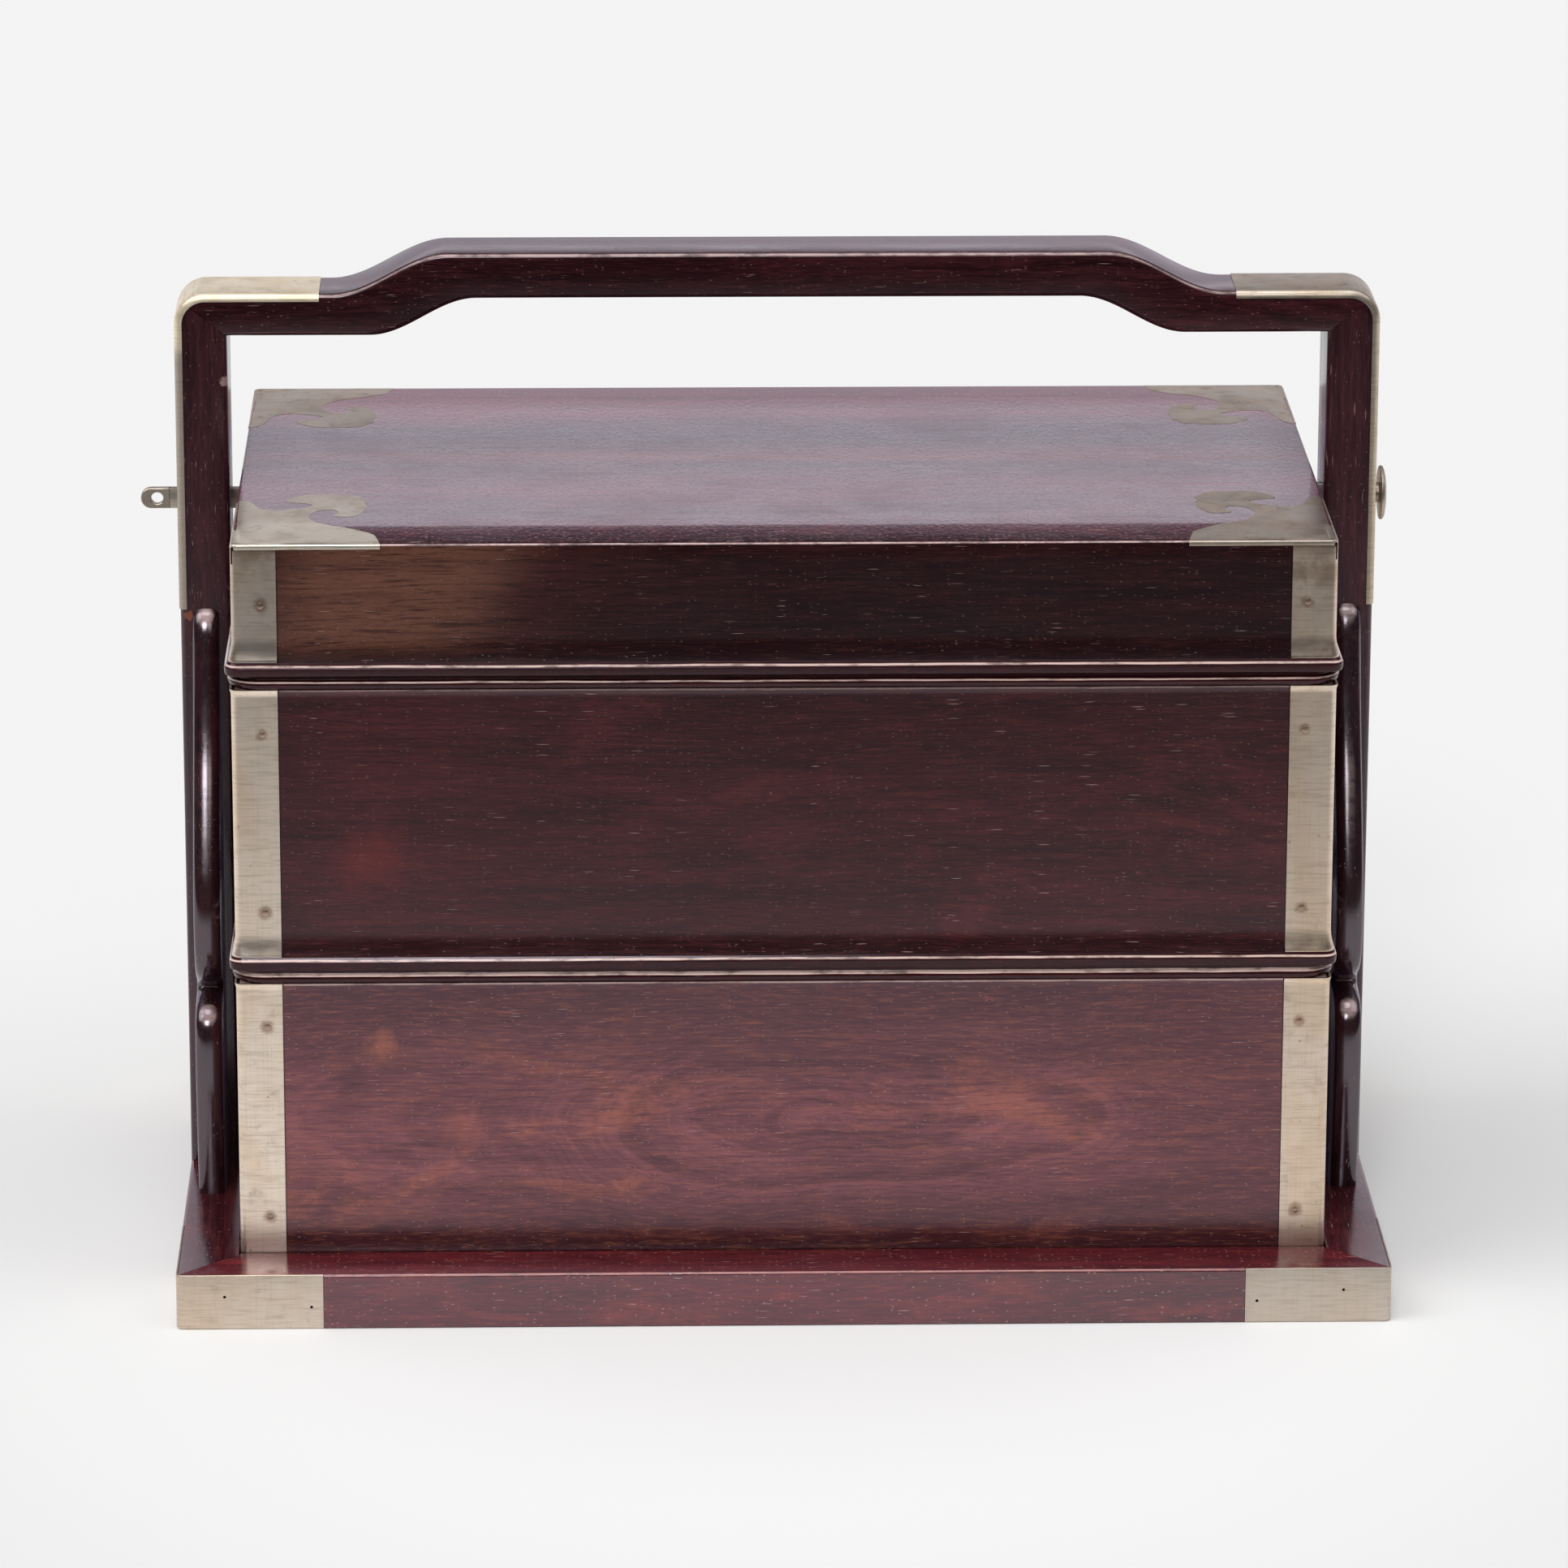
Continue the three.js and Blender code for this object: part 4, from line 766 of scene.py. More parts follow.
triangles = triangles.reshape(-1, 3)
flat = np.array([tuple(point) for point in flat])[used]
# An edge that belongs to one triangle only lies on the border.
directed = np.concatenate([triangles[:, [0, 1]], triangles[:, [1, 2]], triangles[:, [2, 0]]])
_, where, times = np.unique(np.sort(directed, 1), axis=0, return_inverse=True, return_counts=True)
border = directed[times[where.ravel()] == 1]
print("mount:", len(flat), "points,", len(triangles), "triangles,", len(border), "border edges")

# %% [markdown]
# ### The four mounts
#
# The same triangles serve all four corners, mirrored across the lid. A Solidify modifier would thicken
# the sheet, but a copy of the triangles half a millimetre lower, joined to them along the border, is as
# simple and keeps both on the curve of the board. The folded edge is a thin section carried round the
# corner, and two domed pins hold each mount.

# %% Mounts
ROUND_MARGIN, ROUND_DROP, SIDE_FOLD_SHARE = 0.9, 0.35, 0.97
mount_pin_shares = [(0.8, 0.18), (0.08, 0.75)]
fold_section = rounded([(METAL_PROUD, -MOUNT_FOLD), (METAL_PROUD, 0.02), (-2.5, 0.02), (-2.5, -0.45),
                        (-0.5, -0.45), (-0.5, -MOUNT_FOLD)], [0.12, 0.55, 0.1, 0.1, 0.1, 0.12], 5)
mounts = {}
for corner, (sign_x, sign_y) in CORNERS.items():
    x, y = sign_x * (LID_HALF[0] - flat[:, 0]), sign_y * (LID_HALF[1] - flat[:, 1])
    eased = np.clip(1 - flat.min(1) / ROUND_MARGIN, 0, 1) ** 2
    level = top_height(x, y) + METAL_PROUD - ROUND_DROP * eased
    sheet = np.concatenate([np.column_stack([x, y, level]), np.column_stack([x, y, level - MOUNT_SHEET])])
    count = len(flat)
    rim = np.column_stack([border[:, 1], border[:, 0], border[:, 0] + count, border[:, 1] + count])
    faces = triangles.tolist() + (triangles[:, ::-1] + count).tolist() + rim.tolist()
    heads = [(sign_x * (LID_HALF[0] - front * MOUNT_FRONT), sign_y * (LID_HALF[1] - side * MOUNT_SIDE))
             for front, side in mount_pin_shares]
    heads = [(x, y, float(top_height(x, y)) + 0.03) for x, y in heads]
    fold = angle_round(corner, *(2 * LID_HALF), STRAP_RADIUS, (MOUNT_FRONT, MOUNT_SIDE * SIDE_FOLD_SHARE),
                       fold_section + [0, LID_EDGE])
    mounts[corner] = piece(
        f"Cloud_mount_{corner}", [(sheet, faces), fold, *pin_heads(heads, (0, 0, 1), 1.0, 0.12)],
        "lid", [f"lid_cloud_mount_{corner}"], crisp=40)
print("mounts:", len(mounts))

# %% [markdown]
# ## Locking bar
#
# The bar is a flat strip whose left end is round and pierced for a padlock. Round the hole, a small
# section is carried in a full turn: its inner side is the hole, and its outer side is the outline of
# the tip, met by a line from the hole's centre. Cutting the hole with a Boolean would leave no soft
# arris round it. The rest is a plain strip.

# %% The strip and its eye
BAR_TIP, BAR_HEAD_START = -191.8, 180.9
HOLE_CENTRE, HOLE_RADIUS = BAR_TIP + 4.9, 1.85
TIP_CENTRE = BAR_TIP + BAR_HEIGHT / 2
EYE_LENGTH = 4.0


def tip_reach(angle):
    """Distance from the hole's centre to the tip's outline: the round end, the long edges or the cut,
    whichever a line in that direction meets first."""
    way_x, way_z = np.cos(angle), np.sin(angle)
    half = BAR_HEIGHT / 2
    to_edge = half / np.maximum(np.abs(way_z), 1e-6)
    to_cut = np.where(way_x > 1e-6, EYE_LENGTH / np.maximum(way_x, 1e-6), np.inf)
    lag = HOLE_CENTRE - TIP_CENTRE
    along = -way_x * lag + np.sqrt(np.maximum((way_x * lag) ** 2 - lag * lag + half * half, 0))
    on_round = HOLE_CENTRE + along * way_x < TIP_CENTRE
    return np.minimum(np.where(on_round, along, to_edge), to_cut)


def along_bar(section, *stations):
    """A section of [y, z] points about the bar's middle line, carried along x from station to station."""
    return carried([np.column_stack([np.full(len(section), x), section[:, 0], BAR_LEVEL + section[:, 1]])
                    for x in stations])


BAR_ARRIS, HALF_BAR, EYE_OVERLAP = 0.22, BAR_THICKNESS / 2, 0.35
TANG_HALF_WIDTH, TANG_HALF_HEIGHT, TANG_ARRIS, TANG_BEFORE, TANG_INSIDE = 1.1, 1.7, 0.1, 1, 2.4
spin = np.linspace(0, 2 * np.pi, 97)[:-1]
cut_angle = np.arctan2(BAR_HEIGHT / 2, EYE_LENGTH)
spin = np.sort(np.concatenate([spin, [cut_angle, 2 * np.pi - cut_angle]]))
reach = tip_reach(spin)
# A point of the profile lies at its own distance plus its share of the reach, and across by its y.
profile = [(HOLE_RADIUS, -HALF_BAR + BAR_ARRIS, 0), (HOLE_RADIUS, HALF_BAR - BAR_ARRIS, 0),
           (HOLE_RADIUS + BAR_ARRIS, HALF_BAR, 0), (-BAR_ARRIS, HALF_BAR, 1), (0, HALF_BAR - BAR_ARRIS, 1),
           (0, -HALF_BAR + BAR_ARRIS, 1), (-BAR_ARRIS, -HALF_BAR, 1), (HOLE_RADIUS + BAR_ARRIS, -HALF_BAR, 0)]
rings = []
for inner, y, share in profile:
    radius = inner + share * reach
    rings.append(np.column_stack([HOLE_CENTRE + radius * np.cos(spin), np.full(len(spin), y),
                                  BAR_LEVEL + radius * np.sin(spin)]))
eye = carried(np.stack(rings, 1), closed=True)
strip = along_bar(box_section(HALF_BAR, BAR_HEIGHT / 2, BAR_ARRIS, 2),
                  HOLE_CENTRE + EYE_LENGTH - EYE_OVERLAP, BAR_HEAD_START)
tang = along_bar(box_section(TANG_HALF_WIDTH, TANG_HALF_HEIGHT, TANG_ARRIS, 1),
                 BAR_HEAD_START - TANG_BEFORE, BAR_HEAD_START + TANG_INSIDE)
bar = piece("Locking_bar", [eye, strip, tang], "lock_bar", ["lock_bar"])
print("eye of the bar:", len(spin), "stations")

# %% [markdown]
# ### The head of the bar
#
# The head at the other end was turned on a lathe: a small collar, a wide rim and a low dome. A Screw
# modifier spins a profile too, but round the object's own origin, and this piece has to keep its place in
# its mesh. So the rings are written about the middle line of the bar.

# %% The turned head
head_profile = np.array([[0.02, 0], [3.0, 0], [3.0, 1.3], [3.3, 1.5], [7.9, 1.5], [8.2, 1.75], [8.2, 2.2],
                         [8.0, 2.55], [7.2, 2.95], [5.6, 3.25], [3.6, 3.42], [1.6, 3.49], [0.02, 3.5]])
spin = np.linspace(0, 2 * np.pi, 56, endpoint=False)
around = np.column_stack([np.cos(spin), np.sin(spin)])
head_foot = BAR_HEAD_START - 0.05
rings = [np.column_stack([np.full(len(spin), head_foot + along), radius * around[:, 0],
                          BAR_LEVEL + radius * around[:, 1]]) for radius, along in head_profile]
bar_head = piece("Locking_bar_head", [carried(rings)], "lock_bar", ["lock_bar_head"])
print("bar from", BAR_TIP, "to", round(head_foot + head_profile[-1, 1], 2))

# %% [markdown]
# ## Writing shader maths as arithmetic
#
# A finish is a recipe of patterns, and the recipe reads best as ordinary arithmetic. A Wire wraps an
# output socket, and adding or multiplying wires adds the Math nodes. The nodes could be placed one by one
# in the shader editor, but a recipe with dozens of them is easier to read, and to mend, as a few sums.

# %% Wires
class Wire:
    """An output socket that takes part in sums and products. Each operation adds one Math node."""

    def __init__(self, finish, socket):
        self.finish, self.socket = finish, socket

    def __add__(self, other):
        return self.finish.math("ADD", self, other)

    def __sub__(self, other):
        return self.finish.math("SUBTRACT", self, other)

    def __rsub__(self, other):
        return self.finish.math("SUBTRACT", other, self)

    def __mul__(self, other):
        return self.finish.math("MULTIPLY", self, other)

    def __truediv__(self, other):
        return self.finish.math("DIVIDE", self, other)

    def __abs__(self):
        return self.finish.math("ABSOLUTE", self)

    __radd__, __rmul__ = __add__, __mul__


print("reflected operations:", sorted(name for name in vars(Wire) if name.startswith("__r")))

# %% [markdown]
# ### Finishes
#
# A Finish is one material, or the world, and its node method adds any other node from its kind, its
# settings and its sockets' values. The other methods are short names for what the recipes need again
# and again: soft noise, scattered points, eased steps and mixes of two colours.

# %% Finishes
class Finish:
    """The nodes of one material or world, and the few kinds of node that its recipe needs."""

    def __init__(self, owner):
        owner.use_nodes = True
        self.owner, self.tree = owner, owner.node_tree
        self.tree.nodes.clear()

    def node(self, kind, settings=None, sockets=None, output=0):
        """Adds a node by kind, sets it up, feeds its sockets, and returns one of its outputs."""
        made = self.tree.nodes.new("ShaderNode" + kind)
        for name, value in (settings or {}).items():
            setattr(made, name, value)
        for name, value in (sockets or {}).items():
            if isinstance(value, Wire):
                self.tree.links.new(value.socket, made.inputs[name])
            else:
                made.inputs[name].default_value = value
        return Wire(self, made.outputs[output])

    def math(self, operation, *values):
        return self.node("Math", {"operation": operation}, dict(enumerate(values)))

    def vector(self, operation, *values):
        """A sum or another vector of vectors, or a number such as their distance."""
        gives_number = operation in ("LENGTH", "DISTANCE", "DOT_PRODUCT")
        return self.node("VectorMath", {"operation": operation}, dict(enumerate(values)), int(gives_number))

    def mapped(self, vector, stretch, turn=(0, 0, 0), shift=(0, 0, 0), kind="POINT"):
        """A vector stretched, turned and shifted. The kind TEXTURE undoes these, and so centres a pattern."""
        return self.node("Mapping", {"vector_type": kind},
                         {"Vector": vector, "Location": shift, "Rotation": turn, "Scale": stretch})

    def noise(self, vector, scale, detail, roughness=0.5, distortion=0.0):
        """Soft noise. Three scales instead of one draw it out along the axes with the smaller ones."""
        if isinstance(scale, tuple):
            vector, scale = self.mapped(vector, scale), 1.0
        return self.node("TexNoise", None, {"Vector": vector, "Scale": scale, "Detail": detail,
                                            "Roughness": roughness, "Distortion": distortion})

    def nearest(self, vector, stretch):
        """Distance to the nearest of many scattered points, and that point's own random colour."""
        distance = self.node("TexVoronoi", None, {"Vector": self.mapped(vector, stretch), "Scale": 1.0})
        return distance, Wire(self, distance.socket.node.outputs["Color"])

    def step(self, value, low, high, bottom=0.0, top=1.0):
        """An eased step from bottom at low to top at high."""
        return self.node("MapRange", {"interpolation_type": "SMOOTHSTEP"},
                         {0: value, 1: low, 2: high, 3: bottom, 4: top})

    def band(self, value, low, high, ease=0.1):
        """1 between low and high, and 0 outside, with eased ends."""
        return self.step(value, low - ease, low + ease) * self.step(value, high - ease, high + ease, 1.0, 0.0)

    def mix(self, factor, first, second):
        """A mix of two colours."""
        first = (*first, 1) if isinstance(first, tuple) else first
        second = (*second, 1) if isinstance(second, tuple) else second
        return self.node("Mix", {"data_type": "RGBA"}, {0: factor, 6: first, 7: second}, output=2)

    def axis(self, vector, name):
        return self.node("SeparateXYZ", None, {0: vector}, output="XYZ".index(name))

    def closed(self, shader, kind="Material"):
        """Links a shader to the output node, and returns the finished material or world."""
        output = self.tree.nodes.new("ShaderNodeOutput" + kind)
        self.tree.links.new(shader.socket, output.inputs[0])
        return self.owner

    def surface(self, sockets, relief, height, strength):
        """The Principled shader: numbers and patterns on its sockets, and a relief that bends its normal."""
        bump = self.node("Bump", None, {"Height": relief, "Distance": height, "Strength": strength})
        return self.closed(self.node("BsdfPrincipled", None, {**sockets, "Normal": bump}))


print("finish tools ready")

# %% [markdown]
# ## Polished hardwood
#
# The wood is dense, dark and waxed. Its grain runs along each board, so the patterns are drawn far
# longer than wide, and turned to suit the piece. Dark streaks drift through it, a cloudy figure shows
# where the board was cut across the growth, and fine pores lie as short pale dashes along the grain. A
# picture of wood could be wrapped round each board, but patterns on Object coordinates need no
# unwrapping, run through a board as grain does, and stay sharp from near by.

# %% Hardwood recipe
ALONG = {"x": (0, 0, 0), "y": (0, 0, math.pi / 2), "z": (0, math.pi / 2, 0)}
PER_MILLIMETRE = (1000, 1000, 1000)
PORE, PAINTED_HIGHLIGHT, HALF_UP_FORWARD = (0.62, 0.40, 0.36), (0.95, 0.70, 0.63), (0, -0.707, 0.707)


def hardwood(name, grain, deep, middle, warm, seed, cloud=0.3, drifting=0.6, dashes=1.0, dots=1.0,
             gloss=0.2, sheen=(1, 0.9, 1), index=1.5, oval=None, patches=(), painted_highlight_bands=(), arris=0.0,
             arris_highlight_tone=(0.85, 0.62, 0.58), marks=(), haze=0.0, grit=0.0):
    """A waxed hardwood. deep, middle and warm are the colours of its dark streaks, its body and its
    lighter figure. cloud, drifting, dashes and dots are the strengths of that figure, of the dark drifts
    and of the two kinds of pore. gloss is the least roughness, and sheen and index colour and strengthen
    the mirror image. oval is the centre and half sizes of a figure of nested ovals. A patch has an axis,
    a centre, a half width, a tone and a strength; several patches are painted shade, and those at the
    left of the lid's front a painted reflection. The list of painted highlight bands gives each band on a
    shoulder or sweep by its lower and upper height and a strength. arris is the strength of a painted
    highlight on the edges that face up and forward, and the arris highlight tone its colour. marks are
    small chips and knots: place, radius, tone, and how soft the rim is. haze is the bloom of old wax,
    which shows at a low angle only, and grit is the roughness of open pores."""
    finish = Finish(bpy.data.materials.new(name))
    own = finish.node("TexCoord", output="Object")
    flat = finish.mapped(own, PER_MILLIMETRE)
    # Patterns from the widest to the finest, drawn out along the grain, which wanders a little.
    here = finish.mapped(own, PER_MILLIMETRE, ALONG[grain], (seed * 400, seed * 270, seed * 130))
    wander = finish.noise(here, (0.012, 0.03, 0.03), 1.0)
    here = finish.vector("ADD", here, finish.node("CombineXYZ", None, {1: wander * 10, 2: wander * 7}))
    drift = finish.noise(here, (0.0045, 0.026, 0.026), 2.0, 0.5, 0.3)
    streak = finish.noise(here, (0.008, 0.15, 0.15), 4.0, 0.6, 0.3)
    fibre = finish.noise(here, (0.035, 0.8, 0.8), 4.0, 0.65)
    hair = finish.noise(here, (0.16, 2.4, 2.4), 2.0, 0.6)
    figure = finish.noise(here, (0.018, 0.05, 0.05), 3.0, 0.6, 0.8)
    mottle = finish.noise(flat, 0.45, 3.0, 0.6)
    if oval:
        centre, half = oval
        turned = finish.mapped(flat, half, shift=centre, kind="TEXTURE")
        nested = finish.vector("LENGTH", turned) + finish.noise(flat, 0.016, 2.0, 0.5) * 0.9
        rings = finish.node("CombineXYZ", None, {0: nested * 9, 1: mottle * 0.3})
        streak = streak * 0.4 + finish.noise(rings, 1.0, 4.0, 0.65) * 0.6
    # The body: dark streaks, darker drifts, lighter figure, the patches of this board (on some boards painted
    # shade, on the lid's front also a painted reflection), and the fibres.
    body = finish.mix(finish.step(streak, 0.3, 0.66), deep, middle)
    body = finish.mix(finish.step(drift, 0.44, 0.7) * drifting, body, deep)
    lit = finish.step(figure, 0.5, 0.68) * finish.step(mottle, 0.3, 0.7, 0.4, 1.0)
    body = finish.mix(lit * cloud, body, warm)
    for letter, centre, half, tone, strength in patches:
        away = finish.axis(flat, letter) - centre + (drift - 0.5) * (half * 0.8)
        away = away + (figure - 0.5) * (half * 0.7)
        inside = finish.step(abs(away), half * 0.3, half * 1.2, 1.0, 0.0) * finish.step(streak, 0.3, 0.6, 0.7)
        body = finish.mix(inside * strength, body, tone)
    for pattern, low, high, strength, tone in ((fibre, 0.48, 0.8, 0.3, warm), (fibre, 0.52, 0.26, 0.8, deep),
                                               (hair, 0.5, 0.75, 0.35, warm), (hair, 0.5, 0.25, 0.65, deep)):
        body = finish.mix(finish.step(pattern, low, high) * strength, body, tone)
    # Open pores: some of many scattered points, as long dashes and as short dots.
    dash, dash_own = finish.nearest(here, (0.075, 1.5, 1.5))
    some = finish.step(finish.axis(dash_own, "X"), 0.55, 1.0)
    chosen = some * finish.step(finish.noise(here, 0.03, 2.0), 0.36, 0.6, 0.15)
    dash = finish.step(dash, 0.07, 0.2, 1.0, 0.0) * chosen
    dot, dot_own = finish.nearest(here, (0.5, 1.35, 1.35))
    dot = finish.step(dot, 0.08, 0.26, 1.0, 0.0) * finish.step(finish.axis(dot_own, "X"), 0.5, 1.0)
    colour = finish.mix(dash * (0.6 * dashes), body, PORE)
    colour = finish.mix(dot * (0.3 * dots), colour, PORE)
    # Painted highlights in bands on shoulders and sweeps and on arrises that face up and forward, and small
    # marks, all broken up by noise.
    highlight_breakup = finish.noise(flat, (0.12, 0.12, 0.5), 4.0, 0.65)
    level = finish.axis(flat, "Z") + (finish.noise(flat, (0.05, 0.05, 0.3), 2.0) - 0.5) * 0.5
    # Each band paints a highlight at its own heights.
    for low, high, strength in painted_highlight_bands:
        inside = finish.band(level, low, high) * finish.step(highlight_breakup, 0.3, 0.56, 0.3)
        colour = finish.mix(inside * strength, colour, PAINTED_HIGHLIGHT)
    # A painted highlight on arrises whose normal faces up and forward, toward the lamps above and in front.
    if arris:
        facing = finish.vector("DOT_PRODUCT", finish.node("TexCoord", output="Normal"), HALF_UP_FORWARD)
        inside = finish.step(facing, 0.9, 0.985) * finish.step(highlight_breakup, 0.3, 0.6, 0.2)
        colour = finish.mix(inside * arris, colour, arris_highlight_tone)
    for centre, radius, tone, rim in marks:
        ragged = (finish.noise(flat, 1.4 / radius, 3.0) - 0.5) * (radius * 2)
        away = finish.vector("DISTANCE", flat, centre) + ragged
        inside = finish.step(away, radius * (1 - rim), radius * (1 + rim), 1.0, 0.0)
        colour = finish.mix(inside * (1 - rim * 0.8), colour, tone)
    # The polish is uneven and a little duller in the pores, which are also sunk.
    rub = finish.noise(flat, 0.03, 3.0, 0.6, 0.3)
    roughness = gloss + finish.step(rub, 0.4, 0.7) * 0.05 + dash * 0.2 + finish.step(fibre, 0.4, 0.7) * 0.05
    relief = fibre * 0.3 + hair * 0.2 + streak * 0.15 + mottle * 0.3 - dash * 0.8 - dot * 0.6
    if grit:
        pores = finish.noise(flat, (0.8, 0.42, 0.8), 2.0, 0.6)
        relief = relief + pores * grit
        colour = finish.mix(finish.step(pores, 0.5, 0.66) * 0.35, colour, warm)
    return finish.surface({"Base Color": colour, "Roughness": roughness, "IOR": index,
                           "Specular Tint": (*sheen, 1), "Sheen Weight": haze, "Sheen Roughness": 0.3,
                           "Sheen Tint": (0.85, 0.6, 1, 1)}, relief, 0.00005, 0.6)


print("grain runs along:", list(ALONG))

# %% [markdown]
# ### The boards of this box
#
# The boards were cut from several planks, so their tones differ: a red base, a warm lower tray with an
# oval figure, and a dark lid. Each recipe names only what is its own. Some boards have patches and marks
# at their own places, measured in millimetres; several of those patches are painted shade, those at the
# left of the lid's front a painted reflection, and bands along the beads and sweeps painted highlights.
# The front and top of the lid, the ends of the base, the uprights and the brackets vary the recipe of
# their neighbours.

# %% Woods
WOODS = {
    "base_wood": dict(
        deep=(0.055, 0.007, 0.012), middle=(0.125, 0.013, 0.021), warm=(0.34, 0.05, 0.035), cloud=0.55,
        # arris and its tone paint a highlight along the base's edges that face up and forward.
        gloss=0.16, index=1.85, sheen=(1, 0.93, 1), arris=0.4, arris_highlight_tone=(0.8, 0.28, 0.2), dashes=1.5,
        dots=2.3),
    "frame_wood": dict(
        deep=(0.018, 0.004, 0.006), middle=(0.053, 0.013, 0.017), warm=(0.16, 0.034, 0.04), cloud=0.35,
        # arris paints a highlight along the up-and-forward edges of the handle, and, through their varied
        # recipes, of the uprights and brackets.
        gloss=0.14, index=1.52, arris=0.6, haze=0.16),
    "lower_tray_wood": dict(
        deep=(0.075, 0.015, 0.022), middle=(0.275, 0.082, 0.092), warm=(0.46, 0.13, 0.07), cloud=0.65,
        dashes=0.9, dots=1.3, gloss=0.17, index=1.6, sheen=(0.95, 0.86, 0.98),
        # The band at 100.4 to 101.1 mm is a painted highlight on the sweep under the rim.
        oval=((22, -96, 58), (100, 400, 27)), painted_highlight_bands=[(100.4, 101.1, 0.5)],
        # Patches: painted shade toward the top under the rim, a darker right end, and painted shade where the
        # tray sits in the base.
        patches=[("Z", 104, 32, (0.045, 0.012, 0.018), 0.88), ("X", 152, 62, (0.09, 0.02, 0.025), 0.65),
                 ("Z", 14, 16, (0.022, 0.003, 0.004), 0.96)],
        marks=[((-127.5, -96.5, 71.5), 5.5, (0.04, 0.008, 0.012), 0.7),
               ((-119, -96.5, 82), 3.5, (0.5, 0.15, 0.08), 0.75),
               ((-94.5, -96.5, 55), 5, (0.5, 0.13, 0.08), 0.9)]),
    "upper_tray_wood": dict(
        deep=(0.020, 0.004, 0.006), middle=(0.052, 0.009, 0.012), warm=(0.15, 0.028, 0.024), cloud=0.35,
        # The band at 190.3 to 191.0 mm is a painted highlight on the sweep under the rim.
        gloss=0.2, index=1.58, sheen=(1, 0.8, 0.86), dots=0.7, painted_highlight_bands=[(190.3, 191.0, 0.2)],
        # Patches: a redder left end, and painted shade on the sweep above the foot bead.
        patches=[("X", -112, 30, (0.12, 0.02, 0.018), 0.2), ("Z", 109.5, 6.5, (0.020, 0.006, 0.007), 0.95)],
        marks=[((-121, -96.5, 139), 8, (0.25, 0.03, 0.022), 0.9)]),
    "lid_wood": dict(
        deep=(0.010, 0.003, 0.004), middle=(0.024, 0.005, 0.006), warm=(0.08, 0.018, 0.016), cloud=0.25,
        gloss=0.2, dots=0.6, dashes=0.8),
    "bead_wood": dict(
        deep=(0.020, 0.003, 0.004), middle=(0.035, 0.004, 0.005), warm=(0.12, 0.02, 0.02), cloud=0.2,
        gloss=0.13, dots=0.2, dashes=0.2, index=1.4,
        # These bands are painted highlights along the shoulders of the foot beads and rims.
        painted_highlight_bands=[(197.95, 198.5, 0.9), (193.05, 193.5, 0.8), (108.1, 108.7, 0.9), (103.3, 104.15, 1.0)]),
}
woods = {}
for number, (slot, recipe) in enumerate(WOODS.items()):
    for grain in "x" if slot in ("frame_wood", "bead_wood") else "xy":
        woods[slot, grain] = hardwood(f"{slot}_{grain}", grain, seed=0.31 * number + 0.11, **recipe)


def varied(name, grain, like, seed, **changes):
    """A wood of its own that differs from one of the recipes in what is named."""
    return hardwood(name, grain, seed=seed, **{**WOODS[like], **changes})


lid_front_wood = varied(
    "lid_front_wood", "x", "lid_wood", 1.9,
    # The two X patches make the left of the front lighter brown, a painted reflection of a lamp at the left;
    # the Z patch is painted shade on the sweep above the foot bead.
    patches=[("X", -112, 66, (0.085, 0.026, 0.020), 0.55), ("X", -120, 42, (0.21, 0.09, 0.058), 0.8),
             ("Z", 199.5, 6, (0.012, 0.003, 0.004), 0.9)])
lid_top_wood = varied(
    "lid_top_wood", "x", "lid_wood", 2.4, middle=(0.085, 0.030, 0.050), deep=(0.03, 0.011, 0.019),
    warm=(0.19, 0.05, 0.058), gloss=0.07, cloud=0.5, drifting=0.6, index=1.36, sheen=(1, 0.85, 1),
    # arris paints a highlight along the front edge, and the last patch is a painted dark reflection on the
    # eased front strip.
    arris=0.85, haze=0.12, dots=2.2, dashes=1.4, grit=1.5,
    patches=[("Y", 31, 16, (0.008, 0.006, 0.02), 0.95), ("Y", 4, 9, (0.26, 0.05, 0.06), 0.6),
             ("Y", 76, 30, (0.22, 0.05, 0.075), 0.7), ("Y", -34, 18, (0.15, 0.04, 0.06), 0.5),
             ("Y", -96, 11, (0.012, 0.004, 0.005), 1.0)])
post_wood = varied(
    "post_wood", "z", "frame_wood", 3.3, middle=(0.056, 0.015, 0.02), warm=(0.13, 0.035, 0.04),
    deep=(0.02, 0.006, 0.008), index=1.62,
    marks=[((-177.5, -12.3, 190.6), 1.4, (0.32, 0.10, 0.05), 0.3),
           ((-165.2, -12, 263), 1.5, (0.55, 0.35, 0.36), 0.3)])
base_end_wood = varied("base_end_wood", "y", "base_wood", 1.4, middle=(0.07, 0.011, 0.016),
                       deep=(0.03, 0.005, 0.008), warm=(0.2, 0.035, 0.03), dots=1.2)
bracket_wood = varied("bracket_wood", "z", "frame_wood", 2.9, middle=(0.026, 0.008, 0.011),
                      warm=(0.10, 0.02, 0.022), deep=(0.01, 0.003, 0.004), index=1.9, gloss=0.15, dots=0.4)
print("woods from the recipes:", len(woods), "and five of their own")

# %% [markdown]
# ## Pale brass and the worn bar
#
# The mounts are a pale copper-nickel alloy, polished long ago and dulled since. Fine scratches run
# along them, the tone drifts between silver and straw, and dark spots of tarnish gather here and there.
# The bar is the same metal, worn and browner. One recipe with a few settings serves all: what differs
# from mount to mount is how far this ageing has gone, and on the lid's straps, the left handle strap and
# the front-left mount also painted shade and a painted reflection.

# %% Metal recipe
DARK, BROWN = (0.34, 0.25, 0.17), (0.30, 0.17, 0.11)
FAR_FROM_PINS = 100.0


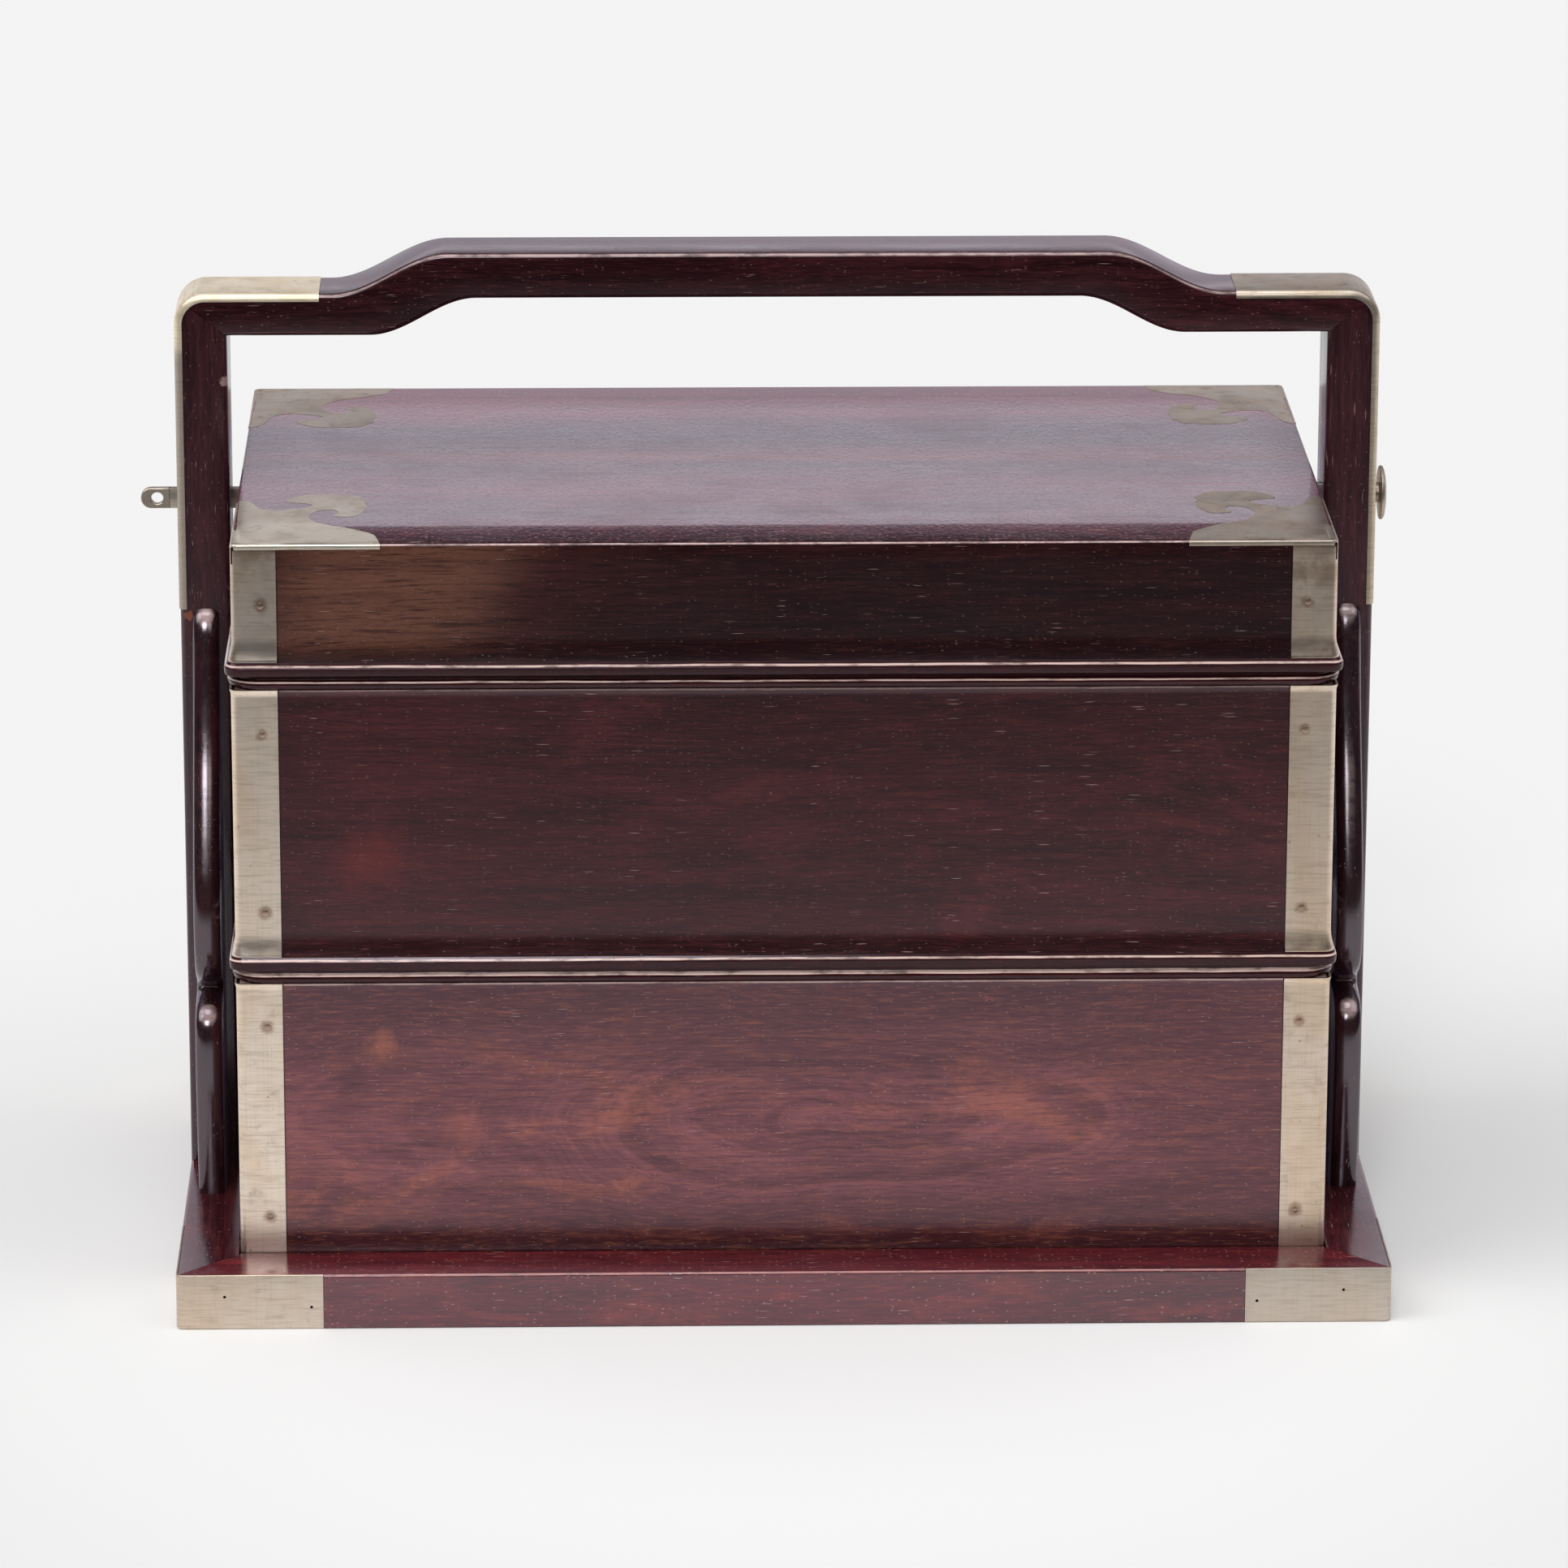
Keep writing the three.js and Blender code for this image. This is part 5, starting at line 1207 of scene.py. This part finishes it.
def old_metal(name, pale, straw, dark=DARK, gloss=0.3, spots=0.45, edge=None, joints=(), pins=(), bare=1.0):
    """A dulled metal: pale drifting to straw, with dark tarnish and fine scratches from rubbing. gloss is its
    least roughness, and spots the strength of the tarnish. edge names an axis, a place on it, and a tone
    painted before that place: painted shade on the left handle strap, and a painted reflection on the
    front-left mount. Brown tarnish gathers at the heights in joints and round the pins, whose places are
    given for one quarter of the box. bare is the share of the surface that is bright metal, and the rest
    is its dull skin."""
    finish = Finish(bpy.data.materials.new(f"{name}_metal"))
    here = finish.mapped(finish.node("TexCoord", output="Object"), PER_MILLIMETRE)
    drift = finish.noise(here, (0.05, 0.05, 0.02), 3.0, 0.6, 0.5)
    patch = finish.noise(here, 0.16, 4.0, 0.65, 0.4)
    upright_lines = finish.noise(here, (1.6, 1.6, 0.05), 3.0, 0.6)
    level_lines = finish.noise(here, (0.11, 0.11, 1.7), 3.0, 0.6)
    tone = finish.mix(finish.step(drift, 0.36, 0.66), pale, straw)
    # edge paints a tone before a place on one axis: painted shade or a painted reflection, as the docstring
    # lists.
    if edge:
        letter, border, painted_light_tone = edge
        before = finish.step(finish.axis(here, letter) + (patch - 0.5) * 8, border - 3, border + 5, 1.0, 0.0)
        tone = finish.mix(before * 0.85, tone, painted_light_tone)
    for pattern, low, high, strength in ((upright_lines, 0.45, 0.8, 0.14), (level_lines, 0.42, 0.75, 0.36),
                                         (patch, 0.56, 0.8, spots)):
        tone = finish.mix(finish.step(pattern, low, high) * strength, tone, dark)
    for joint in joints:
        away = abs(finish.axis(here, "Z") - joint) + (patch - 0.5) * 9
        tone = finish.mix(finish.step(away, 0.5, 5.0, 1.0, 0.0) * 0.5, tone, BROWN)
    if pins:
        folded, away = finish.vector("ABSOLUTE", here), FAR_FROM_PINS
        for pin in pins:
            away = finish.math("MINIMUM", away, finish.vector("DISTANCE", folded, pin))
        tone = finish.mix(finish.step(away + (patch - 0.5) * 4, 0.8, 2.6, 1.0, 0.0) * 0.7, tone, BROWN)
    # A few of many scattered points are pits.
    near, own = finish.nearest(here, (0.16, 0.16, 0.16))
    some = finish.step(finish.axis(own, "Y"), 0.55, 0.65)
    pit = finish.step(near + (patch - 0.5) * 0.12, 0.045, 0.085, 1.0, 0.0) * some
    tone = finish.mix(pit * 0.55, tone, dark)
    roughness = gloss + finish.step(patch, 0.4, 0.75) * 0.1 + upright_lines * 0.06 + pit * 0.15
    relief = upright_lines * 0.4 + level_lines * 0.6 + patch * 0.6 - pit * 0.6
    sockets = {"Base Color": tone, "Roughness": roughness, "Metallic": bare}
    return finish.surface(sockets, relief, 0.00003, 0.5)


STRAP_JOINTS = (105, 195, 233.5)
on_straps = dict(joints=STRAP_JOINTS, pins=strap_pins)
METALS = {
    "strap": old_metal("strap", (0.90, 0.775, 0.655), (0.86, 0.69, 0.535), **on_straps),
    # The lid's straps, on the left and on the right, are darker copies of the strap metal: painted shade.
    "lid_strap": old_metal("lid_strap", (0.69, 0.61, 0.54), (0.66, 0.54, 0.43), spots=0.6, **on_straps),
    "right_lid_strap": old_metal("right_lid_strap", (0.76, 0.64, 0.53), (0.72, 0.55, 0.42), spots=0.6,
                                 joints=(*STRAP_JOINTS, 225), pins=strap_pins),
    "right_strap": old_metal("right_strap", (0.80, 0.675, 0.565), (0.76, 0.60, 0.455), **on_straps),
    "plate": old_metal("plate", (0.68, 0.60, 0.51), (0.66, 0.54, 0.43)),
    "right_plate": old_metal("right_plate", (0.58, 0.51, 0.44), (0.56, 0.46, 0.37)),
    # Its edge is a painted reflection: the front of this mount is lighter.
    "mount": old_metal("mount", (0.76, 0.68, 0.57), (0.72, 0.62, 0.49), edge=("Y", -76, (1.0, 0.92, 0.76)),
                       bare=0.85),
    "dull": old_metal("dull", (0.63, 0.55, 0.45), (0.60, 0.49, 0.37), (0.22, 0.17, 0.12), 0.34, 0.6),
    # Its edge is painted shade: the part of this strap below 272 mm, down the upright, is darker.
    "golden": old_metal("golden", (1.0, 0.88, 0.68), (0.95, 0.80, 0.56), gloss=0.36,
                        edge=("Z", 272, (0.40, 0.33, 0.30)), bare=0.62),
    "bar": old_metal("bar", (0.55, 0.49, 0.42), (0.50, 0.41, 0.31), (0.20, 0.15, 0.11), 0.36, 0.8),
}
print("metals:", len(METALS))

# %% [markdown]
# ## A finish for every piece
#
# Boards along the sides get the grain that runs front to back. The metal differs from place to place: the
# straps of the trays are the brightest, the lid's straps are darker copies that paint shade, and the pieces
# on the right and the mounts at the back are duller. The lid's top is one board, so its faces that stand
# upright get the front's wood.

# %% Finish for every piece
STEEP = 0.4


def finish_piece(shown, material):
    """Gives one material to a whole piece. A node of the solid model keeps its mesh."""
    shown.data.materials.clear()
    shown.data.materials.append(material)


for side, rail in base_rails.items():
    finish_piece(rail, base_end_wood if side in HANDS else woods["base_wood", "x"])
for (tier, side), board in boards.items():
    finish_piece(board, woods[f"{tier}_wood", "y" if side in HANDS else "x"])
for wood, shown_pieces in ((woods["frame_wood", "x"], [handle]), (post_wood, uprights.values()),
                           (bracket_wood, brackets.values()), (woods["bead_wood", "x"], beads.values()),
                           (lid_front_wood, [boards["lid", "front"]]), (lid_top_wood, [lid_top])):
    for shown in shown_pieces:
        finish_piece(shown, wood)
lid_top.data.materials.append(lid_front_wood)
normals = np.empty(3 * len(lid_top.data.polygons))
lid_top.data.polygons.foreach_get("normal", normals)
lid_top.data.polygons.foreach_set("material_index", (np.abs(normals[2::3]) < STEEP).astype(np.int32))
for (tier, corner), strap in straps.items():
    hand = "right_" if "right" in corner else ""
    finish_piece(strap, METALS[hand + ("lid_strap" if tier == "lid" else "strap")])
for corner, plate in base_plates.items():
    finish_piece(plate, METALS["right_plate" if "right" in corner else "plate"])
for corner, mount in mounts.items():
    finish_piece(mount, METALS["mount" if corner == "front_left" else "dull"])
for shown, metal in ((handle_straps["left"], "golden"), (handle_straps["right"], "dull"), (bar, "bar"),
                     (bar_head, "bar")):
    finish_piece(shown, METALS[metal])
for node, wood in {"base_panel": ("base_wood", "x"), "base_stretcher": ("base_wood", "y"),
                   "lower_tray_bottom": ("lower_tray_wood", "x"),
                   "upper_tray_bottom": ("upper_tray_wood", "x")}.items():
    finish_piece(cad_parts[node], woods[wood])
visible = [shown for shown in bpy.data.objects if shown.type == "MESH" and not shown.hide_render]
print("finished pieces:", len(visible))

# %% [markdown]
# ## The studio
#
# The box stood on white paper under soft light. The paper is a wide floor. To the camera it is the
# photograph's own near-white. In reflections it darkens in front of the box, as paper does that runs
# out of the light, and that gives the polished fronts their fall from bright base to dark lid.

# %% Floor
PAPER_RADIUS, PAPER_SIDES = 14, 96
PAPER, PAPER_PAINTED_LIGHT, PAPER_UNLIT = (0.835, 0.834, 0.834), (0.945, 0.945, 0.945), (0.02, 0.02, 0.02, 1)
LIGHT_ENDS, LIGHT_FALLS = -0.42, 0.24
floor_mesh = bpy.data.meshes.new("Paper")
angle = np.linspace(0, 2 * np.pi, PAPER_SIDES, endpoint=False)
disc = np.column_stack([PAPER_RADIUS * np.cos(angle), PAPER_RADIUS * np.sin(angle), 0 * angle])
floor_mesh.from_pydata(disc.tolist(), [], [list(range(PAPER_SIDES))])
floor = bpy.data.objects.new("Paper", floor_mesh)
bpy.context.scene.collection.objects.link(floor)
paper = Finish(bpy.data.materials.new("Paper"))
spot = paper.node("TexCoord", output="Object")
in_front = paper.math("EXPONENT", (paper.axis(spot, "Y") - LIGHT_ENDS) / LIGHT_FALLS)
seen = paper.node("LightPath", output="Is Camera Ray")
shade = seen + (1 - seen) * paper.math("MINIMUM", in_front, 1.0)
# Round the box the paper is painted lighter: a painted pool of light that makes up for the shade the box
# casts on it.
round_box = paper.mapped(spot, (0.2, 0.2, 1), shift=(0, -0.1, 0), kind="TEXTURE")
far = paper.step(paper.vector("LENGTH", round_box), 0.6, 1.6)
white = paper.node("BsdfDiffuse", None, {"Color": paper.mix(far, PAPER_PAINTED_LIGHT, PAPER)})
unlit = paper.node("BsdfDiffuse", None, {"Color": PAPER_UNLIT})
finish_piece(floor, paper.closed(paper.node("MixShader", None, {0: shade, 1: unlit, 2: white})))
print("paper:", 2 * PAPER_RADIUS, "m wide")

# %% [markdown]
# ## Light all round
#
# The world answers each kind of ray in its own way. The camera sees even near-white. A mirror ray, which
# the polished lid sends off at a low angle, sees a wall behind the box that is brightest about 15
# degrees up and ends at 20, and a dim room elsewhere. Everything else is lit softly from above and from
# low behind. Four round lamps far away add shape: a wide strong one at the left, a wide weak one at the
# right, and two narrower ones above and in front. Area lamps near the box would light its ends unevenly
# and mirror as squares in its polish, so all four are suns with a width.

# %% World and lamps
CAMERA_LEVEL, MIRROR_TINT = 0.896, (1.0, 0.965, 1.06)
world = bpy.data.worlds.new("Studio")
bpy.context.scene.world = world
sky = Finish(world)
way = sky.node("TexCoord", output="Generated")
up, away = sky.axis(way, "Z"), sky.axis(way, "Y")
overhead = sky.step(up, 0.45, 0.8) * 0.45
soft = 0.1 + overhead + sky.step(away, 0.05, 0.5) * sky.step(up, 0.3, 0.65, 1.0, 0.0)
wall_top = sky.step(up, 0.268, 0.345, 1.0, 0.0)
wall_behind = sky.step(up, 0.225, 0.25, 0.52, 1.54) * wall_top * sky.step(away, 0.05, 0.4)
mirrored = 0.06 + overhead + wall_behind
seen = sky.node("LightPath", output="Is Camera Ray")
in_mirror = sky.node("LightPath", output="Is Glossy Ray")
in_mirror = in_mirror + sky.node("LightPath", output="Is Transmission Ray")
level = soft + in_mirror * (mirrored - soft)
strength = seen * CAMERA_LEVEL + (1 - seen) * level
tint = sky.mix(in_mirror, (1.0, 1.0, 1.0), MIRROR_TINT)
sky.closed(sky.node("Background", None, {0: tint, 1: strength}), "World")


def softbox(name, toward, strength, width):
    """A large round lamp far away: toward points from the box to it, width is its angle in degrees."""
    lamp = bpy.data.lights.new(name, "SUN")
    lamp.energy, lamp.angle = strength, math.radians(width)
    holder = bpy.data.objects.new(name, lamp)
    holder.rotation_euler = Vector(toward).to_track_quat("Z", "Y").to_euler()
    bpy.context.scene.collection.objects.link(holder)
    return holder


lamps = [softbox("Lamp_left", (-0.78, -0.30, 1.0), 0.9, 40),
         softbox("Lamp_right", (0.8, -0.25, 1.1), 0.35, 40),
         softbox("Lamp_above", (-0.04, -0.2, 1.0), 0.6, 26),
         softbox("Lamp_front", (-0.12, -0.80, 0.58), 0.65, 15)]
print("lamps:", len(lamps))

# %% [markdown]
# ## Camera
#
# The camera stands where the photographer's stood. Its yaw, pitch, roll and distance were fitted to the
# corners and seams of the box in the photograph, and its axes are worked out from the three angles.

# %% Camera
YAW, PITCH, ROLL = math.radians(-1.524), math.radians(16.558), math.radians(0.142)
TARGET, DISTANCE = np.array([0.0024, 0.0, 0.132982]), 2.430285
LENS, SENSOR, FAR_END = 182.63, 36, 100
back = np.array([math.sin(YAW) * math.cos(PITCH), -math.cos(YAW) * math.cos(PITCH), math.sin(PITCH)])
right = np.cross(-back, [0, 0, 1])
right /= np.linalg.norm(right)
above = np.cross(right, -back)
rolled_right = math.cos(ROLL) * right + math.sin(ROLL) * above
rolled_up = -math.sin(ROLL) * right + math.cos(ROLL) * above
viewpoint = TARGET + back * DISTANCE
turned = np.column_stack([rolled_right, rolled_up, back])
camera_data = bpy.data.cameras.new("Camera")
camera_data.lens, camera_data.sensor_width, camera_data.clip_end = LENS, SENSOR, FAR_END
camera = bpy.data.objects.new("Camera", camera_data)
camera.matrix_world = Matrix([[*axes, place] for axes, place in zip(turned, viewpoint)] + [[0, 0, 0, 1]])
bpy.context.scene.collection.objects.link(camera)
bpy.context.scene.camera = camera
bpy.context.scene.view_settings.view_transform = "Standard"
print("camera at", np.round(viewpoint, 3))
